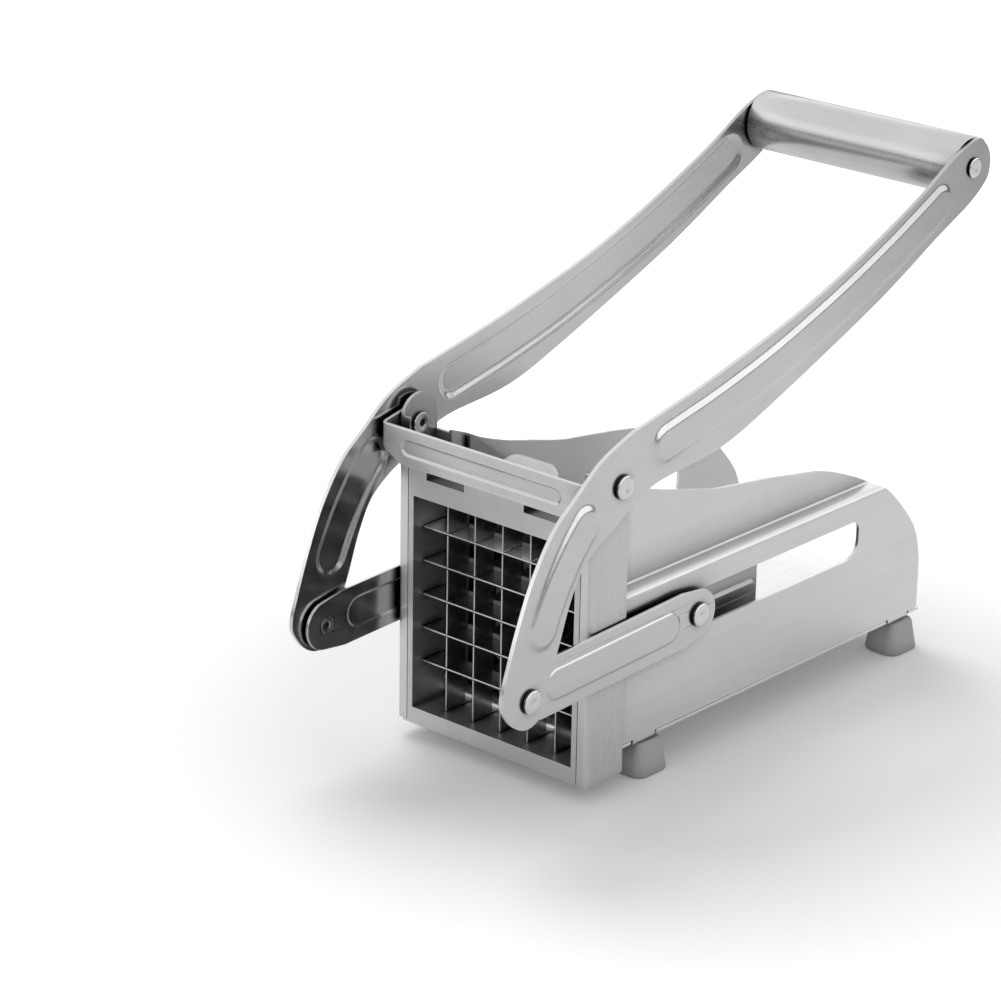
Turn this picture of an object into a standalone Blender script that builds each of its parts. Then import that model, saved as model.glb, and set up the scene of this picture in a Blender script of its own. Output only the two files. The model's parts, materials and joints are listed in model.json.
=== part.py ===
"""French fry cutter worked by a lever handle. Sizes in metres, +Z up, the four feet stand on Z = 0.

The body is a folded sheet channel that runs along Y. The blade cassette stands at its front and lifts
out upwards. The handle turns on two rivets above the cassette, and its lower arms pull or push two
links, whose rear ends drive the studded pusher along slots in the side plates. All places are worked
out with Y = 0 at the front face of the cassette, and the finished model is then centred along Y.
"""

import math

import bmesh
import bpy
from mathutils import Matrix, Vector
from mathutils.geometry import tessellate_polygon

# Sheet, gaps and round stretches
SHEET = 0.0012
LEVER_SHEET = 0.0015
GAP = 0.0003
FOLD = 0.0022
OVERRUN = 0.004
ROUND_STEPS = 20
EAR_STEPS = 14
ARC_STEPS = 6
FOLD_STEPS = 4
SMOOTH_STEPS = 2
SHARP_DEGREES = 35

# Blades and their cassette
BLADE_PITCH = 0.0127
BLADE_COUNT = 5
BLADE = 0.0006
BLADE_SETBACK = 0.0050
BLADE_REAR_SETBACK = 0.0021
BLADE_CLEARANCE = 0.00025
GROOVE = 0.0008
LOW_CELL = 0.0164
SIDE_CELL_LOSS = 0.0011
CASSETTE_DEPTH = 0.0171
CASSETTE_SIDE = 0.0035
CASSETTE_HEAD = 0.0102
CASSETTE_SILL = 0.0058
CASSETTE_BOTTOM = 0.0061
CASSETTE_LIP = 0.0015
CASSETTE_PLAY = 0.0012
NOTCH_DEPTH = 0.0030
NOTCH_INNER = 0.0136
NOTCH_OUTER = 0.0310
TAB_HALF_WIDTH = 0.0135
TAB_RISE = 0.0072
TAB_ROUND = 0.0070
TAB_THICKNESS = 0.0012
TAB_LEAN_DEGREES = 30.0

# Side plates and floor
WALL_FRONT = 0.0016
WALL_TAIL = 0.03945
WALL_RISE = 0.0116
WALL_FRONT_RISE = 0.0098
JOGGLE = 0.0065
JOGGLE_RISE = 0.0066
SLOT_HEIGHT = 0.0544
SLOT_HALF_HEIGHT = 0.00715
SLOT_FRONT_SPARE = 0.00845
SLOT_REAR_SPARE = 0.0062
SLOT_UPPER_ROUND = 0.0035
SLOT_LOWER_ROUND = 0.0065
FLOOR_TOP = 0.0152
FLOOR_TAIL = 0.0014
LIP_FRONT = 0.0015
FLOOR_HOLE = 0.0015
FLOOR_HOLE_INSET = 0.0129
FLOOR_HOLE_SETBACK = 0.0036

# Front posts and the strap across them
POST_LIFT = 0.0004
POST_FLANGE_RISE = 0.0015
POST_FLANGE_WIDTH = 0.0048
EAR_HALF_WIDTH = 0.0090
EAR_RISE = 0.0020
STRAP_FRONT = 0.0074
STRAP_RISE = 0.0038
STRAP_DROP = 0.0093
STRAP_EAR = 0.0096
STRAP_EAR_SWEEP = 115
STRAP_SHOULDER = 0.0050
STRAP_CORNER_WIDTH = 0.0100
STRAP_CORNER_HEIGHT = 0.0055
STRAP_BEAD_DROP = 0.0028
STRAP_BEAD_INSET = 0.0096
STRAP_BEAD_RADIUS = 0.0030
STRAP_BEAD_DEPTH = 0.0007

# Handle: main pivot P, grip axis G and link pivot L
PIVOT_Y = 0.0097
PIVOT_RISE = 0.0128
ARM = 0.2068
ARM_DEGREES = 20.0
ARM_END = 0.0105
ARM_END_SWEEP = 60
CRANK = 0.0777
ARM_BEAD_HALF_WIDTH = 0.0079
CRANK_BEAD_HALF_WIDTH = 0.0082
BEAD_SLOPE = 0.0034
BEAD_DEPTH = 0.0012
GRIP_RADIUS = 0.01125
GRIP_WALL = 0.0012
GRIP_CHAMFER = 0.0005
ROD_RADIUS = 0.0032
ROD_HEAD = 0.0039
ROD_HEAD_HEIGHT = 0.0009

# Rivets, washers and links
RIVET = 0.0027
RIVET_HEAD = 0.0044
RIVET_HEAD_HEIGHT = 0.0010
RIVET_TAIL = 0.0038
RIVET_TAIL_HEIGHT = 0.0009
RIVET_DIMPLE = 0.0013
WASHER = 0.0005
WASHER_RADIUS = 0.0056
LINK = 0.0915
LINK_HALF_WIDTH = 0.0104
LINK_END = 0.0090
LINK_END_SWEEP = 75
LINK_BEAD_INSET = 0.0165
LINK_BEAD_HALF_WIDTH = 0.0062
LINK_BEAD_SLOPE = 0.0014
LINK_BEAD_DEPTH = 0.0005

# Pusher, and how far it runs each way from where it rests
PUSHER_FORWARD = 0.0060
PUSHER_BACK = 0.0835
TIP_CLEARANCE = 0.0004
STUD_PLAY = 0.0047
STUD_LENGTH = 0.0100
STUD_TAPER = 0.0006
OUTER_STUD_GAP = 0.0006
PUSHER_BASE = 0.0040
PUSHER_RIM = 0.00055
PANEL_RISE = 0.0040
PIN_SETBACK = 0.03275
WING_CLEARANCE = 0.0006
WING_LEAD = 0.0015
WING_TAIL = 0.04725
WING_RISE = 0.0064
WING_BEAD_START = 0.02175
WING_BEAD_DROP = 0.0058
WING_BEAD_RADIUS = 0.0030
WING_BEAD_END = 0.0008
WING_BEAD_SLOPE = 0.0012
WING_BEAD_DEPTH = 0.0008
SLIDE_HALF_LENGTH = 0.0072
SLIDE_ROUND = 0.0020
SLIDE_FLANGE_HALF_LENGTH = 0.0090
SLIDE_FLANGE_HALF_HEIGHT = 0.0100
SCREW = 0.0015
SCREW_HEAD = 0.0031
SCREW_HEAD_HEIGHT = 0.0018
SCREW_REACH = 0.0030
SCREW_X = 0.0190
SCREW_LOW_RISE = 0.0145
SCREW_HIGH_DROP = 0.0140

# Feet, and the flaps of the side plates that are folded in above them
FOOT_HALF_LENGTH = 0.0087
FOOT_FRONT_SETBACK = 0.0186
FOOT_REAR_SETBACK = 0.0080
FOOT_WIDTH = 0.0172
FOOT_STAND_OUT = 0.0026
FOOT_FLARE = 0.0020
FOOT_OUTER_ROUND = 0.0048
FOOT_INNER_ROUND = 0.0080
FOOT_BASE_ROUND = 0.0005
FOOT_SHOULDER = 0.0010
FLAP_HALF_LENGTH = 0.0060
FLAP_ADVANCE = 0.0039
FLAP_WIDTH = 0.0090
FLAP_RELIEF = 0.0009

# Outlines, as shares of the size named beside each: (along, across)
WALL_TOP_SHARES = (  # of WALL_REAR and WALL_TOP
    (1.0, 0.30), (0.993, 0.367), (0.976, 0.438), (0.943, 0.508), (0.898, 0.585), (0.857, 0.633),
    (0.789, 0.686), (0.711, 0.732), (0.628, 0.757), (0.550, 0.781), (0.446, 0.806), (0.390, 0.820),
    (0.317, 0.852), (0.244, 0.883), (0.174, 0.924), (0.135, 0.956),
)
ARM_TOP_SHARES = (  # of ARM, from the grip to the pivot
    (0.955, 0.046), (0.850, 0.031), (0.717, 0.022), (0.590, 0.019), (0.455, 0.024), (0.250, 0.044),
    (0.072, 0.070),
)
ARM_BOTTOM_SHARES = (  # of ARM, from the pivot to the grip
    (0.085, -0.046), (0.236, -0.084), (0.392, -0.090), (0.648, -0.085), (0.765, -0.077),
    (0.868, -0.066), (0.970, -0.058),
)
CRANK_SHARES = (  # of CRANK, down the front edge, round the link pivot and up the rear edge
    (-0.219, 0.085), (-0.035, 0.204), (0.148, 0.262), (0.318, 0.312), (0.532, 0.312),
    (0.727, 0.278), (0.927, 0.225), (1.070, 0.174), (1.118, 0.095), (1.132, 0.020),
    (1.118, -0.045), (1.083, -0.085), (1.030, -0.102), (0.880, -0.062), (0.730, -0.028),
    (0.566, 0.015), (0.410, 0.033), (0.283, -0.003), (0.177, -0.057), (0.013, -0.136),
)
ARM_BEAD_SHARES = (  # of ARM, centre line
    (0.115, 0.007), (0.175, -0.002), (0.245, -0.012), (0.350, -0.023), (0.450, -0.029),
    (0.600, -0.031), (0.740, -0.026), (0.870, -0.015), (0.895, -0.012),
)
CRANK_BEAD_SHARES = (  # of CRANK, centre line
    (0.235, 0.136), (0.350, 0.150), (0.500, 0.150), (0.620, 0.138), (0.710, 0.122),
)
WING_TOP_SHARES = (  # of the wing's length and height, front to rear
    (0.0, 1.0), (0.04, 0.970), (0.24, 0.850), (0.50, 0.720), (0.80, 0.580), (0.95, 0.530),
    (1.0, 0.500),
)
TAPER_SHARE = 0.35  # of a rivet head's height that is its straight rim

# Worked out: the cassette and its blades
BLADE_DEPTH = CASSETTE_DEPTH - BLADE_SETBACK - BLADE_REAR_SETBACK
OPENING_BOTTOM = CASSETTE_BOTTOM + CASSETTE_SILL
OPENING_TOP = OPENING_BOTTOM + LOW_CELL + BLADE_COUNT * BLADE_PITCH
OPENING_HALF_WIDTH = (BLADE_COUNT + 1) * BLADE_PITCH / 2 - SIDE_CELL_LOSS
CASSETTE_TOP = OPENING_TOP + CASSETTE_HEAD
CASSETTE_HALF_WIDTH = OPENING_HALF_WIDTH + CASSETTE_SIDE
TAB_TOP = CASSETTE_TOP + TAB_RISE

# Worked out: the layers from the middle of the body outwards, on the right side
WALL_INNER = CASSETTE_HALF_WIDTH + CASSETTE_PLAY
WALL_OUTER = WALL_INNER + SHEET
UPPER_WALL_OUTER = WALL_OUTER - JOGGLE
UPPER_WALL_INNER = UPPER_WALL_OUTER - SHEET
POST_INNER = WALL_OUTER + GAP
POST_OUTER = POST_INNER + SHEET
STRAP_INNER = POST_OUTER + GAP
STRAP_OUTER = STRAP_INNER + SHEET
LINK_INNER = POST_OUTER + GAP + GAP
LINK_OUTER = LINK_INNER + SHEET
LEVER_INNER = LINK_OUTER + GAP + WASHER + GAP
LEVER_OUTER = LEVER_INNER + LEVER_SHEET
WING_OUTER = UPPER_WALL_INNER - WING_CLEARANCE
WING_INNER = WING_OUTER - SHEET
SLIDE_OUTER = LINK_INNER - GAP
FACE_HALF_WIDTH = POST_OUTER - POST_FLANGE_WIDTH - GAP
RIVET_HOLE = RIVET + GAP
ROD_HOLE = ROD_RADIUS + GAP

# Worked out: heights
FLOOR_BOTTOM = FLOOR_TOP - SHEET
WALL_BOTTOM = FLOOR_TOP + GAP
WALL_TOP = CASSETTE_TOP + WALL_RISE
WALL_FRONT_TOP = CASSETTE_TOP + WALL_FRONT_RISE
JOGGLE_HEIGHT = SLOT_HEIGHT + SLIDE_FLANGE_HALF_HEIGHT + JOGGLE_RISE
POST_BOTTOM = CASSETTE_BOTTOM + POST_LIFT
POST_FLANGE_TOP = CASSETTE_TOP + POST_FLANGE_RISE
PIVOT_Z = CASSETTE_TOP + PIVOT_RISE
STRAP_TOP = PIVOT_Z + STRAP_RISE
STRAP_BOTTOM = PIVOT_Z - STRAP_DROP
STRAP_BEAD_HEIGHT = PIVOT_Z - STRAP_BEAD_DROP
STUD = BLADE_PITCH - STUD_PLAY
STUD_COUNT = BLADE_COUNT + 1
PUSHER_TOP = OPENING_TOP - BLADE_PITCH / 2 + STUD / 2 + PUSHER_RIM
PANEL_TOP = PUSHER_TOP + PANEL_RISE
WING_BOTTOM = FLOOR_TOP + GAP
WING_TOP = CASSETTE_TOP + WING_RISE
WING_BEAD_HEIGHT = SLOT_HEIGHT - WING_BEAD_DROP
SCREW_LOW = WING_BOTTOM + SCREW_LOW_RISE
SCREW_HIGH = PUSHER_TOP - SCREW_HIGH_DROP
FLAP_BOTTOM = FLOOR_BOTTOM - GAP - SHEET
FOOT_TOP = FLAP_BOTTOM - GAP

# Worked out: places along the body
FLANGE_FRONT = CASSETTE_DEPTH + GAP
POST_DEPTH = FLANGE_FRONT + SHEET
STUD_TIP_Y = CASSETTE_DEPTH + PUSHER_FORWARD + TIP_CLEARANCE
BASE_FRONT = STUD_TIP_Y + STUD_LENGTH
PANEL_FRONT = BASE_FRONT + PUSHER_BASE + GAP
PIN_Y = STUD_TIP_Y + PIN_SETBACK
WING_FRONT = STUD_TIP_Y + WING_LEAD
WING_REAR = PIN_Y + WING_TAIL
WING_BEAD_FRONT = PIN_Y + WING_BEAD_START
SLOT_FRONT = PIN_Y - PUSHER_FORWARD - SLIDE_HALF_LENGTH - SLOT_FRONT_SPARE
SLOT_REAR = PIN_Y + PUSHER_BACK + SLIDE_HALF_LENGTH + SLOT_REAR_SPARE
WALL_REAR = SLOT_REAR + WALL_TAIL
FLOOR_REAR = WALL_REAR + FLOOR_TAIL
FOOT_FRONT_Y = FLANGE_FRONT + FOOT_FRONT_SETBACK
FOOT_REAR_Y = WALL_REAR - FOOT_REAR_SETBACK
FOOT_OUTER = WALL_OUTER + FOOT_STAND_OUT
FOOT_INNER = FOOT_OUTER - FOOT_WIDTH

# Worked out: pivots at rest, as (Y, Z). The link pivot lies a crank from the main pivot and a link
# from the pusher's pins.
PIVOT = Vector((PIVOT_Y, PIVOT_Z))
LINK_REAR = Vector((PIN_Y, SLOT_HEIGHT))
SPAN = (LINK_REAR - PIVOT).length
SPAN_LINE = (LINK_REAR - PIVOT) / SPAN
CRANK_ALONG = (CRANK**2 - LINK**2 + SPAN**2) / (2 * SPAN)
CRANK_ACROSS = math.sqrt(CRANK**2 - CRANK_ALONG**2)
LINK_FRONT = PIVOT + CRANK_ALONG * SPAN_LINE + CRANK_ACROSS * Vector((SPAN_LINE.y, -SPAN_LINE.x))
CRANK_LINE = (LINK_FRONT - PIVOT) / CRANK
ARM_LINE = Vector((math.cos(math.radians(ARM_DEGREES)), math.sin(math.radians(ARM_DEGREES))))
GRIP = PIVOT + ARM * ARM_LINE
SIDES = (("right", 1), ("left", -1))

COLOURS = {
    "brushed_steel": ((0.62, 0.62, 0.63), 1.0, 0.34),
    "cassette_steel": ((0.46, 0.46, 0.47), 1.0, 0.42),
    "blade_steel": ((0.55, 0.55, 0.56), 1.0, 0.25),
    "floor_steel": ((0.50, 0.50, 0.51), 1.0, 0.38),
    "grip_steel": ((0.60, 0.60, 0.61), 1.0, 0.30),
    "rivet_steel": ((0.78, 0.78, 0.79), 1.0, 0.22),
    "black_plastic": ((0.025, 0.025, 0.027), 0.0, 0.45),
    "white_nylon": ((0.80, 0.80, 0.78), 0.0, 0.40),
    "grey_rubber": ((0.34, 0.34, 0.35), 0.0, 0.70),
}


def clear_scene():
    for obj in list(bpy.data.objects):
        bpy.data.objects.remove(obj)


def material(name):
    found = bpy.data.materials.get(name)
    if found:
        return found
    colour, metallic, roughness = COLOURS[name]
    made = bpy.data.materials.new(name)
    made.use_nodes = True
    shader = made.node_tree.nodes["Principled BSDF"]
    shader.inputs["Base Color"].default_value = (*colour, 1)
    shader.inputs["Metallic"].default_value = metallic
    shader.inputs["Roughness"].default_value = roughness
    return made


def arc(centre, radius, start, end, steps=ARC_STEPS):
    """Points on a circle from the start angle to the end angle, in degrees."""
    turns = [math.radians(start + (end - start) * i / steps) for i in range(steps + 1)]
    return [(centre[0] + radius * math.cos(t), centre[1] + radius * math.sin(t)) for t in turns]


def rounded_box(low, high, radii):
    """A box with its corners rounded: low left, low right, high right, high left."""
    (left, bottom), (right, top) = low, high
    corners = ((left, bottom, 1, 1), (right, bottom, -1, 1), (right, top, -1, -1), (left, top, 1, -1))
    points = []
    for (u, v, inward, up), radius, start in zip(corners, radii, (180, 270, 0, 90)):
        points += arc((u + inward * radius, v + up * radius), radius, start, start + 90)
    return points


def smooth(points, closed):
    """A soft curve through the points, with SMOOTH_STEPS stretches between each two."""
    count = len(points)
    last = count if closed else count - 1
    out = []
    for i in range(last):
        around = []
        for j in (i - 1, i, i + 1, i + 2):
            around.append(Vector(points[j % count if closed else min(max(j, 0), count - 1)]))
        a, b, c, d = around
        for k in range(SMOOTH_STEPS):
            t = k / SMOOTH_STEPS
            point = b + (c - a) * t / 2 + (a - 2.5 * b + 2 * c - d / 2) * t**2
            out.append(point + (3 * b - a - 3 * c + d) * t**3 / 2)
    if not closed:
        out.append(Vector(points[-1]))
    return [tuple(point) for point in out]


def ribbon(centre_line, half_width):
    """The outline of a strip with round ends along a centre line."""
    line = [Vector(point) for point in centre_line]
    left, right = [], []
    for i, point in enumerate(line):
        run = (line[min(i + 1, len(line) - 1)] - line[max(i - 1, 0)]).normalized()
        side = Vector((-run.y, run.x)) * half_width
        left.append(tuple(point + side))
        right.append(tuple(point - side))
    head = (line[-1] - line[-2]).normalized()
    tail = (line[0] - line[1]).normalized()
    turn_head = math.degrees(math.atan2(head.y, head.x))
    turn_tail = math.degrees(math.atan2(tail.y, tail.x))
    outline = right[:-1] + arc(line[-1], half_width, turn_head - 90, turn_head + 90)
    return outline + left[-2:0:-1] + arc(line[0], half_width, turn_tail - 90, turn_tail + 90)[:-1]


def in_frame(origin, along, shares, size):
    """Shares of a size, along a line and across it on the left, as (Y, Z) places."""
    across = Vector((-along.y, along.x))
    return [tuple(origin + size * (a * along + b * across)) for a, b in shares]


def place(axis, level, point):
    u, v = point
    return {"X": (level, u, v), "Y": (u, level, v), "Z": (u, v, level)}[axis]


def node(name, mesh_data, colour):
    """A new object in the scene, with its own copy of the mesh and a material."""
    mesh = bpy.data.meshes.new(name)
    mesh_data.to_mesh(mesh)
    mesh_data.free()
    mesh.shade_smooth()
    mesh.set_sharp_from_angle(angle=math.radians(SHARP_DEGREES))
    obj = bpy.data.objects.new(name, mesh)
    bpy.context.scene.collection.objects.link(obj)
    obj.data.materials.append(material(colour))
    return obj


def add_cap(build, loops, axis, level):
    """Fills the area between the first loop and the rest at one level, and returns the vertices."""
    flat = [(u, v, 0) for loop in loops for u, v in loop]
    verts = [build.verts.new(place(axis, level, point[:2])) for point in flat]
    for triangle in tessellate_polygon([[(u, v, 0) for u, v in loop] for loop in loops]):
        build.faces.new([verts[i] for i in triangle])
    grouped = []
    for loop in loops:
        grouped.append(verts[: len(loop)])
        verts = verts[len(loop) :]
    return grouped


def bridge(build, first, second):
    for i in range(len(first)):
        j = (i + 1) % len(first)
        build.faces.new((first[i], first[j], second[j], second[i]))


def plate(name, outline, axis, start, end, colour, holes=(), beads=()):
    """A plate between two levels along an axis. A bead is (rim, crest, shift): both faces of the plate
    step by the shift inside the rim, so the sheet keeps its thickness."""
    build = bmesh.new()
    loops = [outline, *holes, *(rim for rim, _, _ in beads)]
    near = add_cap(build, loops, axis, start)
    far = add_cap(build, loops, axis, end)
    for i in range(1 + len(holes)):
        bridge(build, near[i], far[i])
    for number, (_, crest, shift) in enumerate(beads, 1 + len(holes)):
        for rims, level in ((near, start), (far, end)):
            inner = add_cap(build, [crest], axis, level + shift)[0]
            bridge(build, rims[number], inner)
    bmesh.ops.recalc_face_normals(build, faces=build.faces)
    return node(name, build, colour)


def box(name, low, high, colour):
    outline = [(low[0], low[1]), (high[0], low[1]), (high[0], high[1]), (low[0], high[1])]
    return plate(name, outline, "Z", low[2], high[2], colour)


def turned(name, profile, axis, centre, colour):
    """A round solid from (place along the axis, radius) pairs. Its two ends are flat."""
    build = bmesh.new()
    rings = []
    for along, radius in profile:
        around = arc(centre, radius, 0, 360, ROUND_STEPS)[:-1]
        rings.append([build.verts.new(place(axis, along, point)) for point in around])
    for first, second in zip(rings, rings[1:]):
        bridge(build, first, second)
    build.faces.new(rings[0])
    build.faces.new(rings[-1])
    bmesh.ops.recalc_face_normals(build, faces=build.faces)
    return node(name, build, colour)


def combine(obj, other, operation):
    """Joins, cuts or trims one object with a helper that isn't part of the model itself."""
    other.hide_render = True
    other.display_type = "WIRE"
    step = obj.modifiers.new(other.name, "BOOLEAN")
    step.operation = operation
    step.object = other
    step.solver = "EXACT"


def circle(centre, radius):
    return arc(centre, radius, 0, 360, ROUND_STEPS)[:-1]


def set_origin(objects, y, z):
    """Moves each object's origin to a joint's axis and leaves its shape where it is."""
    for obj in objects:
        obj.data.transform(Matrix.Translation((0, -y, -z)))
        obj.location = (0, y, z)


def blade_places():
    across = [BLADE_PITCH * (i - (BLADE_COUNT - 1) / 2) for i in range(BLADE_COUNT)]
    heights = [OPENING_TOP - BLADE_PITCH * (i + 1) for i in range(BLADE_COUNT)]
    return across, heights


def comb(start, end, notches, edge, back, root):
    """A strip from start to end, its notches cut in from the edge to the root: (along, across)."""
    half = BLADE / 2 + BLADE_CLEARANCE
    points = [(start, edge)]
    for centre in sorted(notches):
        points += [(centre - half, edge), (centre - half, root)]
        points += [(centre + half, root), (centre + half, edge)]
    return points + [(end, edge), (end, back), (start, back)]


def make_blades():
    across, heights = blade_places()
    reach = GROOVE - BLADE_CLEARANCE
    front = BLADE_SETBACK
    rear = BLADE_SETBACK + BLADE_DEPTH
    middle = (front + rear) / 2
    low, high = OPENING_BOTTOM - reach, OPENING_TOP + reach
    side = OPENING_HALF_WIDTH + reach
    for number, x in enumerate(across, 1):
        outline = comb(low, high, heights, front, rear, middle + BLADE_CLEARANCE)
        turned_outline = [(y, z) for z, y in outline]
        name = f"vertical_blade_{number}"
        plate(name, turned_outline, "X", x - BLADE / 2, x + BLADE / 2, "blade_steel")
    for number, z in enumerate(heights, 1):
        outline = comb(-side, side, across, rear, front, middle - BLADE_CLEARANCE)
        plate(f"horizontal_blade_{number}", outline, "Z", z - BLADE / 2, z + BLADE / 2, "blade_steel")


def notched_border():
    """The cassette's outline in (X, Z), with two shallow notches in its top edge."""
    half, low, top = CASSETTE_HALF_WIDTH, CASSETTE_BOTTOM, CASSETTE_TOP
    dip = top - NOTCH_DEPTH
    right = [(NOTCH_OUTER, top), (NOTCH_OUTER, dip), (NOTCH_INNER, dip), (NOTCH_INNER, top)]
    left = [(-x, z) for x, z in reversed(right)]
    return [(-half, low), (half, low), (half, top), *right, *left, (-half, top)]


def groove_cutter(name, places, upright):
    """Boxes a little larger than the blades, which cut their grooves in the cassette."""
    build = bmesh.new()
    half = BLADE / 2 + BLADE_CLEARANCE
    front = BLADE_SETBACK - BLADE_CLEARANCE
    rear = CASSETTE_DEPTH + OVERRUN
    side = OPENING_HALF_WIDTH + GROOVE
    for centre in places:
        if upright:
            low = (centre - half, front, OPENING_BOTTOM - GROOVE)
            high = (centre + half, rear, OPENING_TOP + GROOVE)
        else:
            low = (-side, front, centre - half)
            high = (side, rear, centre + half)
        size = Vector(high) - Vector(low)
        middle = (Vector(high) + Vector(low)) / 2
        bmesh.ops.create_cube(build, size=1, matrix=Matrix.LocRotScale(middle, None, size))
    return node(name, build, "cassette_steel")


def make_blade_frame():
    opening = [
        (-OPENING_HALF_WIDTH, OPENING_BOTTOM), (OPENING_HALF_WIDTH, OPENING_BOTTOM),
        (OPENING_HALF_WIDTH, OPENING_TOP), (-OPENING_HALF_WIDTH, OPENING_TOP),
    ]
    frame = plate(
        "blade_frame", notched_border(), "Y", 0, CASSETTE_DEPTH, "cassette_steel", holes=[opening]
    )
    tab_low = CASSETTE_TOP - NOTCH_DEPTH - SHEET
    round_x, round_z = TAB_HALF_WIDTH - TAB_ROUND, TAB_TOP - TAB_ROUND
    tab_outline = [(-TAB_HALF_WIDTH, tab_low), (TAB_HALF_WIDTH, tab_low)]
    tab_outline += arc((round_x, round_z), TAB_ROUND, 0, 90) + arc((-round_x, round_z), TAB_ROUND, 90, 180)
    tab = plate(
        "tab_shape", tab_outline, "Y", CASSETTE_DEPTH - TAB_THICKNESS, CASSETTE_DEPTH, "cassette_steel"
    )
    slope = math.tan(math.radians(TAB_LEAN_DEGREES))
    for vert in tab.data.vertices:
        vert.co.y += (vert.co.z - CASSETTE_TOP) * slope
    combine(frame, tab, "UNION")
    for name, side in SIDES:
        inner, outer = FACE_HALF_WIDTH, CASSETTE_HALF_WIDTH + OVERRUN
        low = (min(side * inner, side * outer), -OVERRUN, CASSETTE_BOTTOM - OVERRUN)
        high = (max(side * inner, side * outer), CASSETTE_LIP, CASSETTE_TOP + OVERRUN)
        combine(frame, box(f"{name}_step_cutter", low, high, "cassette_steel"), "DIFFERENCE")
    across, heights = blade_places()
    combine(frame, groove_cutter("upright_groove_cutter", across, True), "DIFFERENCE")
    combine(frame, groove_cutter("level_groove_cutter", heights, False), "DIFFERENCE")


def wall_profile(side):
    """The side plate's section in (X, Z): lower wall, joggle and upper wall, with round folds."""
    top = WALL_TOP + OVERRUN
    inner_fold = FOLD - SHEET
    ledge = JOGGLE_HEIGHT - SHEET
    outer = [(WALL_OUTER, WALL_BOTTOM)]
    outer += arc((WALL_OUTER - FOLD, JOGGLE_HEIGHT - FOLD), FOLD, 0, 90, FOLD_STEPS)
    corner = (UPPER_WALL_OUTER + inner_fold, JOGGLE_HEIGHT + inner_fold)
    outer += arc(corner, inner_fold, 270, 180, FOLD_STEPS)
    outer += [(UPPER_WALL_OUTER, top), (UPPER_WALL_INNER, top)]
    outer += arc((UPPER_WALL_INNER + FOLD, ledge + FOLD), FOLD, 180, 270, FOLD_STEPS)
    outer += arc((WALL_INNER - inner_fold, ledge - inner_fold), inner_fold, 90, 0, FOLD_STEPS)
    outer += [(WALL_INNER, WALL_BOTTOM)]
    return [(side * x, z) for x, z in outer]


def wall_outline():
    """The side plate's outline in (Y, Z) behind the cassette."""
    curve = [(a * WALL_REAR, b * WALL_TOP) for a, b in WALL_TOP_SHARES]
    edge = smooth([*curve, (FLANGE_FRONT, WALL_FRONT_TOP)], closed=False)
    below = WALL_BOTTOM - OVERRUN
    return [(FLANGE_FRONT, below), (WALL_REAR, below), *edge]


def slot_outline():
    rounds = (SLOT_LOWER_ROUND, SLOT_LOWER_ROUND, SLOT_UPPER_ROUND, SLOT_UPPER_ROUND)
    low, high = SLOT_HEIGHT - SLOT_HALF_HEIGHT, SLOT_HEIGHT + SLOT_HALF_HEIGHT
    return rounded_box((SLOT_FRONT, low), (SLOT_REAR, high), rounds)


def make_side_plates():
    for name, side in SIDES:
        rear = WALL_REAR + OVERRUN
        wall = plate(f"{name}_side_plate", wall_profile(side), "Y", FLANGE_FRONT, rear, "brushed_steel")
        reach = side * (WALL_OUTER + OVERRUN)
        trim = plate(
            f"{name}_wall_trim", wall_outline(), "X", 0, reach, "brushed_steel", holes=[slot_outline()]
        )
        combine(wall, trim, "INTERSECT")
        flange_bottom = JOGGLE_HEIGHT - SHEET / 2
        flange_top = WALL_FRONT_TOP - SHEET
        middle = UPPER_WALL_INNER + SHEET / 2
        flange = [
            (side * middle, flange_bottom), (side * WALL_OUTER, flange_bottom),
            (side * WALL_OUTER, flange_top), (side * middle, flange_top),
        ]
        fold = plate(
            f"{name}_flange_shape", flange, "Y", FLANGE_FRONT, FLANGE_FRONT + SHEET, "brushed_steel"
        )
        combine(wall, fold, "UNION")
        strip_top = JOGGLE_HEIGHT - FOLD - SHEET
        strip = [
            (WALL_FRONT, WALL_BOTTOM), (FLANGE_FRONT + SHEET, WALL_BOTTOM),
            (FLANGE_FRONT + SHEET, strip_top), (WALL_FRONT, strip_top),
        ]
        front = plate(
            f"{name}_strip_shape", strip, "X", side * WALL_INNER, side * WALL_OUTER, "brushed_steel"
        )
        combine(wall, front, "UNION")
        for number, (start, end) in enumerate(flap_stretches()):
            flap = plate(
                f"{name}_flap_shape_{number}", flap_profile(side), "Y", start, end, "brushed_steel"
            )
            combine(wall, flap, "UNION")


def flap_stretches():
    """Where each flap starts and ends along the side plate."""
    middles = (FOOT_FRONT_Y - FLAP_ADVANCE, FOOT_REAR_Y - FLAP_ADVANCE)
    return [(middle - FLAP_HALF_LENGTH, middle + FLAP_HALF_LENGTH) for middle in middles]


def flap_profile(side):
    """A flap's section in (X, Z): down from the wall and folded in below the floor."""
    inner_fold = FOLD - SHEET
    root = WALL_BOTTOM + SHEET
    top, edge = FLAP_BOTTOM + SHEET, WALL_OUTER - FLAP_WIDTH
    points = [(WALL_OUTER, root)]
    points += arc((WALL_OUTER - FOLD, FLAP_BOTTOM + FOLD), FOLD, 0, -90, FOLD_STEPS)
    points += [(edge, FLAP_BOTTOM), (edge, top)]
    points += arc((WALL_OUTER - FOLD, top + inner_fold), inner_fold, -90, 0, FOLD_STEPS)
    points += [(WALL_INNER, root)]
    return [(side * x, z) for x, z in points]


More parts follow.
